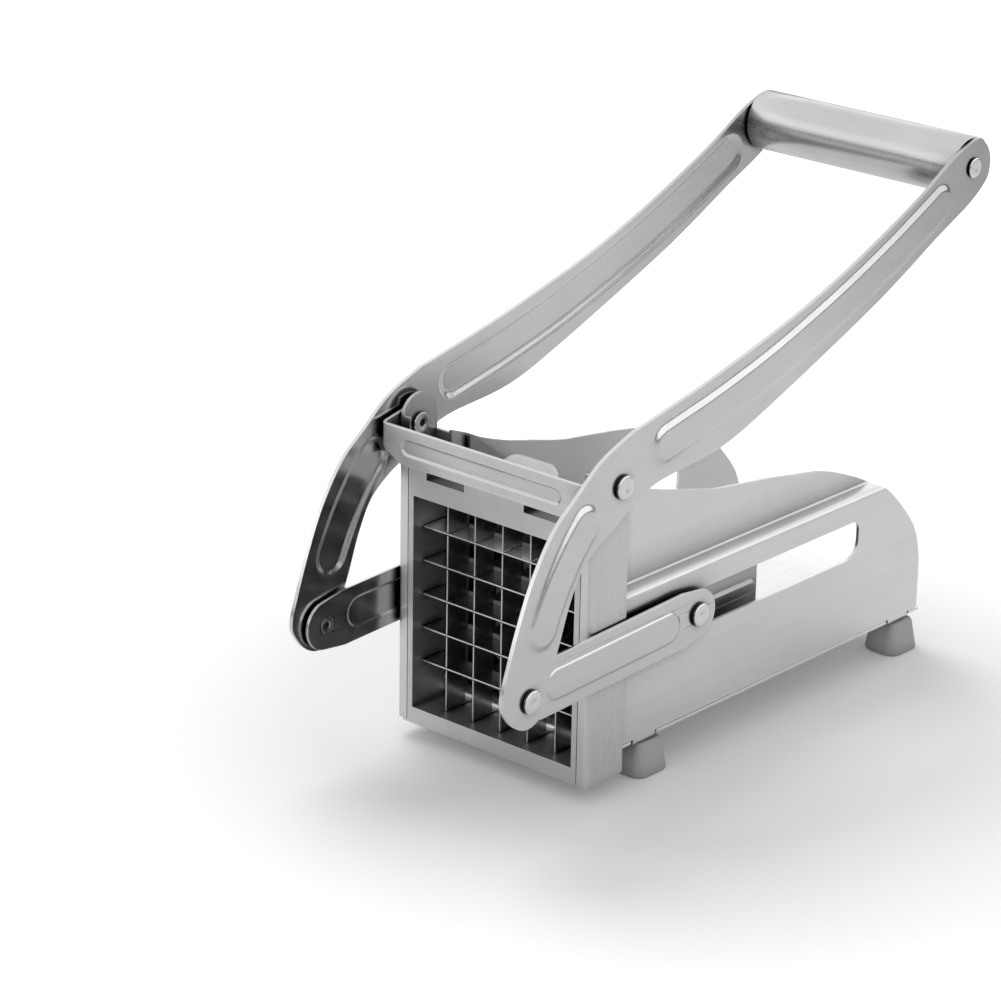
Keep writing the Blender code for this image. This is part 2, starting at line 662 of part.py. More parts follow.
def make_floor():
    """One sheet: the floor, a step down behind the cassette and the lip that the cassette rests on."""
    lip_top = CASSETTE_BOTTOM - GAP
    lip_bottom = lip_top - SHEET
    step_rear = FLANGE_FRONT + SHEET
    inner_fold = FOLD - SHEET
    outline = [(LIP_FRONT, lip_bottom)]
    outline += arc((step_rear - FOLD, lip_bottom + FOLD), FOLD, 270, 360, FOLD_STEPS)
    outline += arc((step_rear + inner_fold, FLOOR_BOTTOM - inner_fold), inner_fold, 180, 90, FOLD_STEPS)
    outline += [(FLOOR_REAR, FLOOR_BOTTOM), (FLOOR_REAR, FLOOR_TOP)]
    outline += arc((FLANGE_FRONT + FOLD, FLOOR_TOP - FOLD), FOLD, 90, 180, FOLD_STEPS)
    outline += arc((FLANGE_FRONT - inner_fold, lip_top + inner_fold), inner_fold, 0, -90, FOLD_STEPS)
    outline += [(LIP_FRONT, lip_top)]
    floor = plate("floor_plate", outline, "X", -WALL_OUTER, WALL_OUTER, "floor_steel")
    for name, side in SIDES:
        spot = (side * (WALL_OUTER - FLOOR_HOLE_INSET), WALL_REAR - FLOOR_HOLE_SETBACK)
        hole = circle(spot, FLOOR_HOLE)
        low, high = FLOOR_BOTTOM - OVERRUN, FLOOR_TOP + OVERRUN
        combine(floor, plate(f"{name}_hole_cutter", hole, "Z", low, high, "floor_steel"), "DIFFERENCE")
        inner, outer = side * (WALL_INNER - FOLD), side * (WALL_OUTER + OVERRUN)
        for number, (start, end) in enumerate(flap_stretches()):
            first = (min(inner, outer), start - FLAP_RELIEF, low)
            last = (max(inner, outer), end + FLAP_RELIEF, high)
            cutter = box(f"{name}_notch_cutter_{number}", first, last, "floor_steel")
            combine(floor, cutter, "DIFFERENCE")


def post_outline():
    """The front post's outline in (Y, Z): a channel side with a round ear about the main pivot."""
    ear_centre = (PIVOT_Y, PIVOT_Z + EAR_RISE)
    front = PIVOT_Y - EAR_HALF_WIDTH
    outline = [(-OVERRUN, POST_BOTTOM), (POST_DEPTH, POST_BOTTOM), (POST_DEPTH, STRAP_BOTTOM)]
    outline += arc(ear_centre, EAR_HALF_WIDTH, 0, 180, EAR_STEPS)
    return outline + [(front, STRAP_BOTTOM), (-OVERRUN, POST_FLANGE_TOP)]


def make_posts():
    for name, side in SIDES:
        inner_fold = FOLD - SHEET
        flange_edge = POST_OUTER - POST_FLANGE_WIDTH
        profile = [(flange_edge, 0)]
        profile += arc((POST_OUTER - FOLD, FOLD), FOLD, 270, 360, FOLD_STEPS)
        profile += [(POST_OUTER, POST_DEPTH + OVERRUN), (POST_INNER, POST_DEPTH + OVERRUN)]
        profile += arc((POST_OUTER - FOLD, FOLD), inner_fold, 360, 270, FOLD_STEPS)
        profile += [(flange_edge, SHEET)]
        shape = [(side * x, y) for x, y in profile]
        low, high = POST_BOTTOM - OVERRUN, PIVOT_Z + EAR_RISE + EAR_HALF_WIDTH + OVERRUN
        post = plate(f"{name}_front_post", shape, "Z", low, high, "brushed_steel")
        reach = side * (POST_OUTER + OVERRUN)
        hole = circle(PIVOT, RIVET_HOLE)
        trim = plate(f"{name}_post_trim", post_outline(), "X", 0, reach, "brushed_steel", holes=[hole])
        combine(post, trim, "INTERSECT")


def strap_outline():
    """The strap's outline in (Y, Z): its front band and the legs back to the main pivots."""
    band_front = -STRAP_FRONT - OVERRUN
    outline = [(band_front, STRAP_BOTTOM), (PIVOT_Y, PIVOT_Z - STRAP_EAR)]
    outline += arc(PIVOT, STRAP_EAR, -90, STRAP_EAR_SWEEP, EAR_STEPS)[1:]
    shoulder = (PIVOT_Y - STRAP_SHOULDER, STRAP_TOP + STRAP_SHOULDER / 2)
    return outline + [shoulder, (-STRAP_FRONT, STRAP_TOP), (band_front, STRAP_TOP)]


def strap_section():
    """The strap's section in (X, Y): a band with both ends folded back."""
    inner_fold = FOLD - SHEET
    end = PIVOT_Y + STRAP_EAR + OVERRUN
    fold_y = FOLD - STRAP_FRONT
    right = arc((STRAP_OUTER - FOLD, fold_y), FOLD, 270, 360, FOLD_STEPS)
    right += [(STRAP_OUTER, end), (STRAP_INNER, end)]
    inside = arc((STRAP_OUTER - FOLD, fold_y), inner_fold, 360, 270, FOLD_STEPS)
    left = [(-x, y) for x, y in reversed(right)]
    inside_left = [(-x, y) for x, y in reversed(inside)]
    return right + inside + inside_left + left


def bead_cone(name, line, radii, levels, colour):
    """A solid strip with round ends whose half width changes between two levels of Y."""
    build = bmesh.new()
    first = add_cap(build, [ribbon(line, radii[0])], "Y", levels[0])[0]
    second = add_cap(build, [ribbon(line, radii[1])], "Y", levels[1])[0]
    bridge(build, first, second)
    bmesh.ops.recalc_face_normals(build, faces=build.faces)
    return node(name, build, colour)


def make_strap():
    low, high = STRAP_BOTTOM - OVERRUN, PIVOT_Z + STRAP_EAR + OVERRUN
    strap = plate("front_strap", strap_section(), "Z", low, high, "brushed_steel")
    reach = STRAP_OUTER + OVERRUN
    hole = circle(PIVOT, RIVET_HOLE)
    trim = plate("strap_trim", strap_outline(), "X", -reach, reach, "brushed_steel", holes=[hole])
    combine(strap, trim, "INTERSECT")
    for name, side in SIDES:
        edge = STRAP_OUTER + GAP
        corner = [
            (side * (edge - STRAP_CORNER_WIDTH), STRAP_BOTTOM - GAP), (side * edge, STRAP_BOTTOM - GAP),
            (side * edge, STRAP_BOTTOM + STRAP_CORNER_HEIGHT),
        ]
        rear = FOLD - STRAP_FRONT
        cutter = plate(f"{name}_corner_cutter", corner, "Y", -STRAP_FRONT - OVERRUN, rear, "brushed_steel")
        combine(strap, cutter, "DIFFERENCE")
    bead_end = STRAP_OUTER - STRAP_BEAD_INSET - STRAP_BEAD_RADIUS
    line = [(-bead_end, STRAP_BEAD_HEIGHT), (bead_end, STRAP_BEAD_HEIGHT)]
    rim, floor = STRAP_BEAD_RADIUS, STRAP_BEAD_RADIUS - STRAP_BEAD_DEPTH
    face, back = -STRAP_FRONT, SHEET - STRAP_FRONT
    widths = (rim + SHEET / 2, floor + SHEET / 2)
    levels = (back - SHEET / 2, back + STRAP_BEAD_DEPTH)
    boss = bead_cone("bead_boss", line, widths, levels, "brushed_steel")
    combine(strap, boss, "UNION")
    steepness = (rim - floor) / STRAP_BEAD_DEPTH
    widths = (rim + steepness * OVERRUN, floor)
    levels = (face - OVERRUN, face + STRAP_BEAD_DEPTH)
    dish = bead_cone("bead_dish", line, widths, levels, "brushed_steel")
    combine(strap, dish, "DIFFERENCE")


def lever_outline():
    outline = in_frame(PIVOT, CRANK_LINE, [(a, -b) for a, b in CRANK_SHARES], CRANK)
    outline += in_frame(PIVOT, ARM_LINE, ARM_BOTTOM_SHARES, ARM)
    end = arc(GRIP, ARM_END, ARM_DEGREES - ARM_END_SWEEP, ARM_DEGREES + ARM_END_SWEEP, FOLD_STEPS)
    top = in_frame(PIVOT, ARM_LINE, ARM_TOP_SHARES, ARM)
    return smooth(outline + end + top, closed=True)


def lever_beads(side):
    arm_line = smooth(in_frame(PIVOT, ARM_LINE, ARM_BEAD_SHARES, ARM), closed=False)
    crank_shares = [(a, -b) for a, b in CRANK_BEAD_SHARES]
    crank_line = smooth(in_frame(PIVOT, CRANK_LINE, crank_shares, CRANK), closed=False)
    beads = []
    for line, half_width in ((arm_line, ARM_BEAD_HALF_WIDTH), (crank_line, CRANK_BEAD_HALF_WIDTH)):
        rim = ribbon(line, half_width)
        crest = ribbon(line, half_width - BEAD_SLOPE)
        beads.append((rim, crest, side * BEAD_DEPTH))
    return beads


def rivet_profile(side, inner, head_base, tail):
    """Inner end, shank and domed head with a shallow dimple, as (X, radius) pairs."""
    top = head_base + RIVET_HEAD_HEIGHT
    rim = head_base + TAPER_SHARE * RIVET_HEAD_HEIGHT
    profile = [(inner, RIVET)]
    if tail:
        profile = [(inner, RIVET_TAIL - GAP), (inner + GAP, RIVET_TAIL)]
        profile += [(inner + RIVET_TAIL_HEIGHT, RIVET_TAIL), (inner + RIVET_TAIL_HEIGHT, RIVET)]
    profile += [(head_base, RIVET), (head_base, RIVET_HEAD), (rim, RIVET_HEAD)]
    crown = RIVET_HEAD - RIVET_HEAD_HEIGHT
    profile += [(top, crown), (top, RIVET_DIMPLE + GAP), (top - GAP, RIVET_DIMPLE)]
    return [(side * x, radius) for x, radius in profile]


def make_handle():
    parts = []
    for name, side in SIDES:
        holes = [circle(PIVOT, RIVET_HOLE), circle(GRIP, ROD_HOLE), circle(LINK_FRONT, RIVET_HOLE)]
        parts.append(plate(
            f"{name}_lever", lever_outline(), "X", side * LEVER_INNER, side * LEVER_OUTER, "brushed_steel",
            holes=holes, beads=lever_beads(side),
        ))
        profile = rivet_profile(side, POST_OUTER + GAP, LEVER_OUTER + GAP, tail=False)
        parts.append(turned(f"{name}_link_pivot_rivet", profile, "X", LINK_FRONT, "rivet_steel"))
        first, second = side * (LEVER_INNER - GAP - WASHER), side * (LEVER_INNER - GAP)
        ring = circle(LINK_FRONT, WASHER_RADIUS)
        bore = circle(LINK_FRONT, RIVET_HOLE)
        parts.append(plate(f"{name}_link_washer", ring, "X", first, second, "rivet_steel", holes=[bore]))
    parts.append(make_grip_tube())
    parts.append(make_grip_rod())
    set_origin(parts, PIVOT_Y, PIVOT_Z)


def make_grip_tube():
    reach = LEVER_INNER - GAP
    inner = reach - GRIP_CHAMFER
    bore = GRIP_RADIUS - GRIP_WALL
    build = bmesh.new()
    stations = (
        (-reach, bore), (-reach, GRIP_RADIUS - GRIP_CHAMFER), (-inner, GRIP_RADIUS),
        (inner, GRIP_RADIUS), (reach, GRIP_RADIUS - GRIP_CHAMFER), (reach, bore),
    )
    rings = []
    for along, radius in stations:
        around = arc(GRIP, radius, 0, 360, 2 * ROUND_STEPS)[:-1]
        rings.append([build.verts.new(place("X", along, point)) for point in around])
    for first, second in zip(rings, rings[1:] + rings[:1]):
        bridge(build, first, second)
    bmesh.ops.recalc_face_normals(build, faces=build.faces)
    return node("grip_tube", build, "grip_steel")


def make_grip_rod():
    base = LEVER_OUTER + GAP
    top = base + ROD_HEAD_HEIGHT
    end = [(base, ROD_RADIUS), (base, ROD_HEAD), (base + ROD_HEAD_HEIGHT / 2, ROD_HEAD)]
    end += [(top, ROD_HEAD - ROD_HEAD_HEIGHT)]
    profile = [(-x, radius) for x, radius in reversed(end)] + end
    return turned("grip_rod", profile, "X", GRIP, "rivet_steel")


def make_main_pivots():
    for name, side in SIDES:
        inner = WALL_OUTER - RIVET_TAIL_HEIGHT
        profile = rivet_profile(side, inner, LEVER_OUTER + GAP, tail=True)
        turned(f"{name}_main_pivot_rivet", profile, "X", PIVOT, "rivet_steel")
        first, second = side * (STRAP_OUTER + GAP), side * (LEVER_INNER - GAP)
        ring, bore = circle(PIVOT, WASHER_RADIUS), circle(PIVOT, RIVET_HOLE)
        plate(f"{name}_pivot_washer", ring, "X", first, second, "rivet_steel", holes=[bore])


def link_outline():
    """A strip a little wider in its middle than at its round ends."""
    run = (LINK_REAR - LINK_FRONT).normalized()
    across = Vector((-run.y, run.x))
    turn = math.degrees(math.atan2(run.y, run.x))
    step = LINK_END
    low_front = LINK_FRONT + step * run - LINK_HALF_WIDTH * across
    low_rear = LINK_REAR - step * run - LINK_HALF_WIDTH * across
    high_rear = LINK_REAR - step * run + LINK_HALF_WIDTH * across
    high_front = LINK_FRONT + step * run + LINK_HALF_WIDTH * across
    outline = [tuple(low_front), tuple(low_rear)]
    outline += arc(LINK_REAR, LINK_END, turn - LINK_END_SWEEP, turn + LINK_END_SWEEP)
    outline += [tuple(high_rear), tuple(high_front)]
    back = turn + 180
    return outline + arc(LINK_FRONT, LINK_END, back - LINK_END_SWEEP, back + LINK_END_SWEEP)


def make_links():
    run = (LINK_REAR - LINK_FRONT).normalized()
    start = tuple(LINK_FRONT + LINK_BEAD_INSET * run)
    end = tuple(LINK_REAR - LINK_BEAD_INSET * run)
    for name, side in SIDES:
        rim = ribbon([start, end], LINK_BEAD_HALF_WIDTH)
        crest = ribbon([start, end], LINK_BEAD_HALF_WIDTH - LINK_BEAD_SLOPE)
        bead = (rim, crest, side * LINK_BEAD_DEPTH)
        holes = [circle(LINK_FRONT, RIVET_HOLE), circle(LINK_REAR, RIVET_HOLE)]
        link = plate(
            f"{name}_link", link_outline(), "X", side * LINK_INNER, side * LINK_OUTER, "brushed_steel",
            holes=holes, beads=[bead],
        )
        profile = rivet_profile(side, LINK_INNER, LINK_OUTER + GAP, tail=False)
        rivet = turned(f"{name}_link_rear_rivet", profile, "X", LINK_REAR, "rivet_steel")
        set_origin([link, rivet], LINK_FRONT.x, LINK_FRONT.y)


def wing_outline():
    length, height = WING_REAR - WING_FRONT, WING_TOP - WING_BOTTOM
    top = [(WING_FRONT + a * length, WING_BOTTOM + b * height) for a, b in WING_TOP_SHARES]
    return [(WING_REAR, WING_BOTTOM), (WING_FRONT, WING_BOTTOM), *top]


def make_carriage():
    """Two wings along the walls, and the panel across them behind the pusher block."""
    hole = circle(LINK_REAR, RIVET_HOLE)
    wings = []
    for name, side in (("pusher_carriage", 1), ("left_wing_shape", -1)):
        inner, outer = side * WING_INNER, side * WING_OUTER
        wings.append(plate(
            name, wing_outline(), "X", inner, outer, "brushed_steel", holes=[hole], beads=[wing_bead(side)]
        ))
    middle, low = WING_INNER + SHEET / 2, WING_BOTTOM + SHEET
    panel_outline = [(-middle, low), (middle, low), (middle, PANEL_TOP), (-middle, PANEL_TOP)]
    holes = [circle(spot, SCREW + GAP) for spot in screw_places()]
    panel = plate(
        "panel_shape", panel_outline, "Y", PANEL_FRONT, PANEL_FRONT + SHEET, "brushed_steel", holes=holes
    )
    combine(wings[0], panel, "UNION")
    combine(wings[0], wings[1], "UNION")
    return wings[0]


def wing_bead(side):
    end = WING_REAR - WING_BEAD_END - WING_BEAD_RADIUS
    line = [(WING_BEAD_FRONT, WING_BEAD_HEIGHT), (end, WING_BEAD_HEIGHT)]
    rim = ribbon(line, WING_BEAD_RADIUS)
    crest = ribbon(line, WING_BEAD_RADIUS - WING_BEAD_SLOPE)
    return rim, crest, side * WING_BEAD_DEPTH


def screw_places():
    return [(side * SCREW_X, height) for _, side in SIDES for height in (SCREW_LOW, SCREW_HIGH)]


def stud_sections():
    """Middle and half width of each column of studs, and the middle of each row."""
    limit = WING_INNER - GAP - OUTER_STUD_GAP
    columns = []
    for i in range(STUD_COUNT):
        centre = BLADE_PITCH * (i - (STUD_COUNT - 1) / 2)
        low, high = max(centre - STUD / 2, -limit), min(centre + STUD / 2, limit)
        columns.append(((low + high) / 2, (high - low) / 2))
    _, heights = blade_places()
    rows = [heights[0] + BLADE_PITCH / 2]
    rows += [height - BLADE_PITCH / 2 for height in heights[:-1]]
    return columns, rows + [(heights[-1] + OPENING_BOTTOM) / 2]


def make_pusher_block():
    half = WING_INNER - GAP
    low = WING_BOTTOM + GAP
    outline = [(-half, low), (half, low), (half, PUSHER_TOP), (-half, PUSHER_TOP)]
    rear = BASE_FRONT + PUSHER_BASE
    block = plate("pusher_block", outline, "Y", BASE_FRONT, rear, "black_plastic")
    columns, rows = stud_sections()
    build = bmesh.new()
    for x, half_width in columns:
        for z in rows:
            levels = ((STUD_TIP_Y, STUD_TAPER), (BASE_FRONT + PUSHER_BASE / 2, 0))
            rings = []
            for level, taper in levels:
                a, b = half_width - taper, STUD / 2 - taper
                square = [(x - a, z - b), (x + a, z - b), (x + a, z + b), (x - a, z + b)]
                rings.append([build.verts.new(place("Y", level, point)) for point in square])
            bridge(build, *rings)
            build.faces.new(rings[0])
            build.faces.new(rings[1])
    bmesh.ops.recalc_face_normals(build, faces=build.faces)
    combine(block, node("stud_shapes", build, "black_plastic"), "UNION")
    for number, spot in enumerate(screw_places(), 1):
        depth = (rear - SCREW_REACH - GAP, rear + OVERRUN)
        bore = plate(f"bore_cutter_{number}", circle(spot, SCREW + GAP), "Y", *depth, "black_plastic")
        combine(block, bore, "DIFFERENCE")
    return block


def make_block_screws():
    screws = []
    tip = BASE_FRONT + PUSHER_BASE - SCREW_REACH
    seat = PANEL_FRONT + SHEET + GAP
    top = seat + SCREW_HEAD_HEIGHT
    for number, spot in enumerate(screw_places(), 1):
        profile = [(tip, SCREW), (seat, SCREW), (seat, SCREW_HEAD)]
        profile += [(seat + SCREW_HEAD_HEIGHT / 2, SCREW_HEAD), (top, SCREW_HEAD - SCREW_HEAD_HEIGHT / 2)]
        screws.append(turned(f"block_screw_{number}", profile, "Y", spot, "rivet_steel"))
    return screws


def slide_block(name, side):
    """A white block: a neck that runs in the slot, and a wider flange inside the wall."""
    y, z = LINK_REAR
    hole = circle(LINK_REAR, RIVET_HOLE)
    neck_half = SLOT_HALF_HEIGHT - GAP
    upper, lower = SLOT_UPPER_ROUND - GAP, SLOT_LOWER_ROUND - GAP
    low, high = (y - SLIDE_HALF_LENGTH, z - neck_half), (y + SLIDE_HALF_LENGTH, z + neck_half)
    outline = rounded_box(low, high, (lower, lower, upper, upper))
    inner = WALL_INNER - GAP
    start, end = side * (inner - GAP), side * SLIDE_OUTER
    neck = plate(f"{name}_slide_block", outline, "X", start, end, "white_nylon", holes=[hole])
    low = (y - SLIDE_FLANGE_HALF_LENGTH, z - SLIDE_FLANGE_HALF_HEIGHT)
    high = (y + SLIDE_FLANGE_HALF_LENGTH, z + SLIDE_FLANGE_HALF_HEIGHT)
    outline = rounded_box(low, high, (SLIDE_ROUND,) * 4)
    start, end = side * (WING_OUTER + GAP), side * inner
    flange = plate(f"{name}_slide_flange", outline, "X", start, end, "white_nylon", holes=[hole])
    combine(neck, flange, "UNION")
    return neck


def slide_pin(name, side):
    """The inner half of a link's rear rivet, with its tail inside the wing."""
    base = WING_INNER - GAP
    cap = base - RIVET_TAIL_HEIGHT
    profile = [(cap, RIVET_TAIL - GAP), (cap + GAP, RIVET_TAIL), (base, RIVET_TAIL), (base, RIVET)]
    profile += [(SLIDE_OUTER - GAP, RIVET)]
    shape = [(side * x, radius) for x, radius in profile]
    return turned(f"{name}_slide_pin", shape, "X", LINK_REAR, "rivet_steel")


def make_slides():
    return [make(name, side) for name, side in SIDES for make in (slide_block, slide_pin)]


def foot_outline(side, middle, inset):
    """The foot's outline in (X, Y), drawn in by the inset on every side."""
    low = (FOOT_INNER + inset, middle - FOOT_HALF_LENGTH + inset)
    high = (FOOT_OUTER - inset, middle + FOOT_HALF_LENGTH - inset)
    inner, outer = FOOT_INNER_ROUND - inset, FOOT_OUTER_ROUND - inset
    outline = rounded_box(low, high, (inner, outer, outer, inner))
    return [(side * x, y) for x, y in outline]


def make_feet():
    """Solid pads that widen downwards, with a sloped shoulder at the top and a round at the base."""
    levels = (
        (0, FOOT_BASE_ROUND), (FOOT_BASE_ROUND, 0), (FOOT_TOP - FOOT_SHOULDER, FOOT_FLARE),
        (FOOT_TOP, FOOT_FLARE + FOOT_SHOULDER),
    )
    for end_name, middle in (("front", FOOT_FRONT_Y), ("rear", FOOT_REAR_Y)):
        for name, side in SIDES:
            build = bmesh.new()
            rings = []
            for level, inset in levels:
                outline = foot_outline(side, middle, inset)
                rings.append([build.verts.new(place("Z", level, point)) for point in outline])
            for first, second in zip(rings, rings[1:]):
                bridge(build, first, second)
            build.faces.new(rings[0])
            build.faces.new(rings[-1])
            bmesh.ops.recalc_face_normals(build, faces=build.faces)
            node(f"{end_name}_{name}_foot", build, "grey_rubber")


def centre_along_y():
    """Moves the whole model so that its middle is at Y = 0."""
    bpy.context.view_layer.update()
    graph = bpy.context.evaluated_depsgraph_get()
    places = []
    for obj in bpy.context.scene.objects:
        if obj.hide_render:
            continue
        made = obj.evaluated_get(graph)
        places += [(made.matrix_world @ Vector(corner)).y for corner in made.bound_box]
    middle = (min(places) + max(places)) / 2
    for obj in bpy.context.scene.objects:
        obj.location.y -= middle
    print("Middle along Y:", round(middle, 6))


def main():
    clear_scene()
    make_side_plates()
    make_floor()
    make_posts()
    make_strap()
    make_main_pivots()
    make_feet()
    make_blade_frame()
    make_blades()
    make_handle()
    make_links()
    pusher = [make_carriage(), make_pusher_block(), *make_block_screws(), *make_slides()]
    set_origin(pusher, LINK_REAR.x, LINK_REAR.y)
    centre_along_y()


main()
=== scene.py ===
"""Looks of the french fry cutter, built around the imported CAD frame. Metres, +Z up.

Each visible piece is made in mesh code from the frame's nodes or from the sizes below, rides on its
body and replaces its node. The cutter stands on Z = 0, its middle is at X = 0 and its front faces -Y.
"""

import json
import math

import bmesh
import bpy
from mathutils import Matrix, Vector
from mathutils.geometry import tessellate_polygon

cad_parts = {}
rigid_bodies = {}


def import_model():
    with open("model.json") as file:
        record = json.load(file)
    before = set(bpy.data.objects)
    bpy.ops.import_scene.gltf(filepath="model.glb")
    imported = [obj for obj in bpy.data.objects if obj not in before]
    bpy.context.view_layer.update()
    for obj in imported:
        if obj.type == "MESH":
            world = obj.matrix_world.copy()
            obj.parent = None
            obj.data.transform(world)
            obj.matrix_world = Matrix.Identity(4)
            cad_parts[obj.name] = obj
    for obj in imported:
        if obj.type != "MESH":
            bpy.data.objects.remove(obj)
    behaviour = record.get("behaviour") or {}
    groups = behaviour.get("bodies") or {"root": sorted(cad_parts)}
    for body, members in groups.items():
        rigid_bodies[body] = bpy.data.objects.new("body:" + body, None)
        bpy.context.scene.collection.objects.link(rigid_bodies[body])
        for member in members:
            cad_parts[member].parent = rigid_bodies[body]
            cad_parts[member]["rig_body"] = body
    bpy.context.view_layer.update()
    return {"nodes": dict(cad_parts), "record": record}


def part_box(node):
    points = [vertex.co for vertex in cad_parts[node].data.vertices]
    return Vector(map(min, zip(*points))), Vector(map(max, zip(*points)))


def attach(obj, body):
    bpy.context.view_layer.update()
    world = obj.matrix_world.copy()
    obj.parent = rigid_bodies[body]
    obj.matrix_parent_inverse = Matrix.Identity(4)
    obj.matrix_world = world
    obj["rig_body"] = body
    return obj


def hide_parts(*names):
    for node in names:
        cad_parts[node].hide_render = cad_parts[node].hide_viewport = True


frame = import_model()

# Camera
AZIMUTH = 41.38
ELEVATION = 20.85
ROLL = 0.93
DISTANCE = 1.37027
TARGET = Vector((-0.06731, -0.002951, 0.060))
LENS = 133.39
SENSOR = 36.0

# Levers and links: the shares are parts of the length along the arm or crank and across it
ARM = 0.2068
ARM_DEGREES = 20.0
ARM_END = 0.0105
ARM_END_SWEEP = 60
ARM_END_STEPS = 4
CRANK = 0.0777
LEVER_SHEET = 0.0015
LEVER_ROUNDING = 0.0003
ARM_BEAD_HALF_WIDTH = 0.0079
CRANK_BEAD_HALF_WIDTH = 0.0082
BEAD_SLOPE = 0.0034
BEAD_DEPTH = 0.0012
BEAD_RINGS = 8
LINK_SHEET = 0.0012
LINK_ROUNDING = 0.00025
LINK_BEAD_HALF_WIDTH = 0.0062
LINK_BEAD_SLOPE = 0.0014
LINK_HALF_WIDTH = 0.0104
LINK_END = 0.0090
LINK_END_SWEEP = 75
LINK_BEAD_INSET = 0.0165
LINK_BEAD_DEPTH = 0.0005
HOLE = 0.0030
ROD_HOLE = 0.0035
ARM_TOP_SHARES = (
    (0.955, 0.046), (0.850, 0.031), (0.717, 0.022), (0.590, 0.019), (0.455, 0.024), (0.250, 0.044),
    (0.072, 0.070),
)
ARM_BOTTOM_SHARES = (
    (0.085, -0.046), (0.236, -0.084), (0.392, -0.090), (0.648, -0.085), (0.765, -0.077),
    (0.868, -0.066), (0.970, -0.058),
)
CRANK_SHARES = (
    (-0.219, 0.085), (-0.035, 0.204), (0.148, 0.262), (0.318, 0.312), (0.532, 0.312),
    (0.727, 0.278), (0.927, 0.225), (1.070, 0.174), (1.118, 0.095), (1.132, 0.020),
    (1.118, -0.045), (1.083, -0.085), (1.030, -0.102), (0.880, -0.062), (0.730, -0.028),
    (0.566, 0.015), (0.410, 0.033), (0.283, -0.003), (0.177, -0.057), (0.013, -0.136),
)
ARM_BEAD_SHARES = (
    (0.115, 0.007), (0.175, -0.002), (0.245, -0.012), (0.350, -0.023), (0.450, -0.029),
    (0.600, -0.031), (0.740, -0.026), (0.870, -0.015), (0.895, -0.012),
)
CRANK_BEAD_SHARES = (
    (0.235, 0.136), (0.350, 0.150), (0.500, 0.150), (0.620, 0.138), (0.710, 0.122),
)

# Rivets, grip tube and grip rod
RIVET_SEAT = 0.0010
RIVET_HEAD_RADIUS = 0.0044
RIVET_HEAD_HEIGHT = 0.0015
RIVET_SHANK = 0.0027
RIVET_BORE = 0.0014
RIVET_BORE_DEPTH = 0.0012
RIVET_EASE = 0.0001
DOME_INSET = 0.0011
DOME_STEPS = 8
MAIN_TAIL_RADIUS = 0.0038
MAIN_TAIL_EASE = 0.0003
MAIN_TAIL = 0.0009
ROD_HEAD_HEIGHT = 0.0009
ROD_SHANK = 0.0032
ROD_HEAD_SHARE = 0.86
GRIP_SHEET = 0.0012
GRIP_STEPS = 96
TURNED_SHARP = 35
GRIP_SHARP = 50

# Rounding of the dressed nodes' edges, and from which angle on an edge is rounded
SIDE_ROUNDING = {
    "{}_side_plate": 0.0002, "{}_front_post": 0.0002, "{}_slide_block": 0.0004,
    "{}_slide_pin": 0.0001, "{}_pivot_washer": 0.00008, "{}_link_washer": 0.00008,
    "front_{}_foot": 0.0006, "rear_{}_foot": 0.0006,
}
MIDDLE_ROUNDING = {
    "floor_plate": 0.0002, "front_strap": 0.0002, "blade_frame": 0.0003, "pusher_carriage": 0.0002,
    "pusher_block": 0.0003,
}
SCREWS = 4
SCREW_ROUNDING = 0.0002
BLADES = 5
BLADE_ROUNDING = 0.00015
DRESSED_SHARP = 30
STRIP_SHARP = 40
MERGE_DISTANCE = 0.000002
COPLANAR_DEGREES = 0.5

SIDES = (("right", 1), ("left", -1))
FINE_STEPS = 6
ROUND_STEPS = 48

# Notches in the cassette's top edge, with painted shade inside
TAB_RISE = 0.0072
NOTCH_DEPTH = 0.0030
NOTCH_OUTER = 0.0310
NOTCH_LIGHT = 0.25

# Materials: the fineness of hairlines along X, Y and Z, and what all steels or all mouldings share
UP = (2600, 2600, 26)
ALONG = (2600, 26, 2600)
ACROSS = (26, 2600, 2600)
SATIN = (900, 900, 900)
TURNED = (1200, 1200, 1200)
ARM_TURN = (-math.radians(ARM_DEGREES), 0, 0)
NO_TURN = (0, 0, 0)
HALF = (0.3, 0.7)
MASK_SAMPLES = 4
STREAK_FINENESS = 0.16
STREAK_SHARE = 0.45
CLOUD_SHARE = 0.30
EDGE_GAIN = 1.10
BRIGHTEST = 0.92
HAIRLINE_HEIGHT = 0.00002
MOULDED_EDGE = 0.0005
SKIN_HEIGHT = 0.00004
LEVEL_SHARE = 0.25

# Floor: its colour, and its glow for the camera, which grows away from the cutter
FLOOR_SIZE = 3.0
FLOOR_DROP = 0.0001
FLOOR_WHITE = (0.86, 0.86, 0.86, 1)
FLOOR_ROUGHNESS = 0.9
FLOOR_GLOSS = 0.1
FLOOR_GLOW_START = 0.12
FLOOR_GLOW_END = 0.32
FLOOR_GLOW_NEAR = 0.10
FLOOR_GLOW_FAR = 0.60

# Light: plain for the object, and a dark horizon and softer ceiling where steel mirrors the room
WHITE = (1, 1, 1, 1)
AMBIENT = 0.60
HORIZON = (0.06, 0.13, 0.10, 1.35)
CEILING = (0.30, 0.55, 1.0, 0.74)
LAMP_PLACE = Vector((-0.75, 0.25, 1.15))
LAMP_AIM = Vector((0, 0, 0.06))
LAMP_SIZE = 0.9
LAMP_POWER = 8.0


def pivot_of(node):
    """A pivot's place as (Y, Z), from the node that turns about it."""
    low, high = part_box(node)
    middle = (low + high) / 2
    return Vector((middle.y, middle.z))


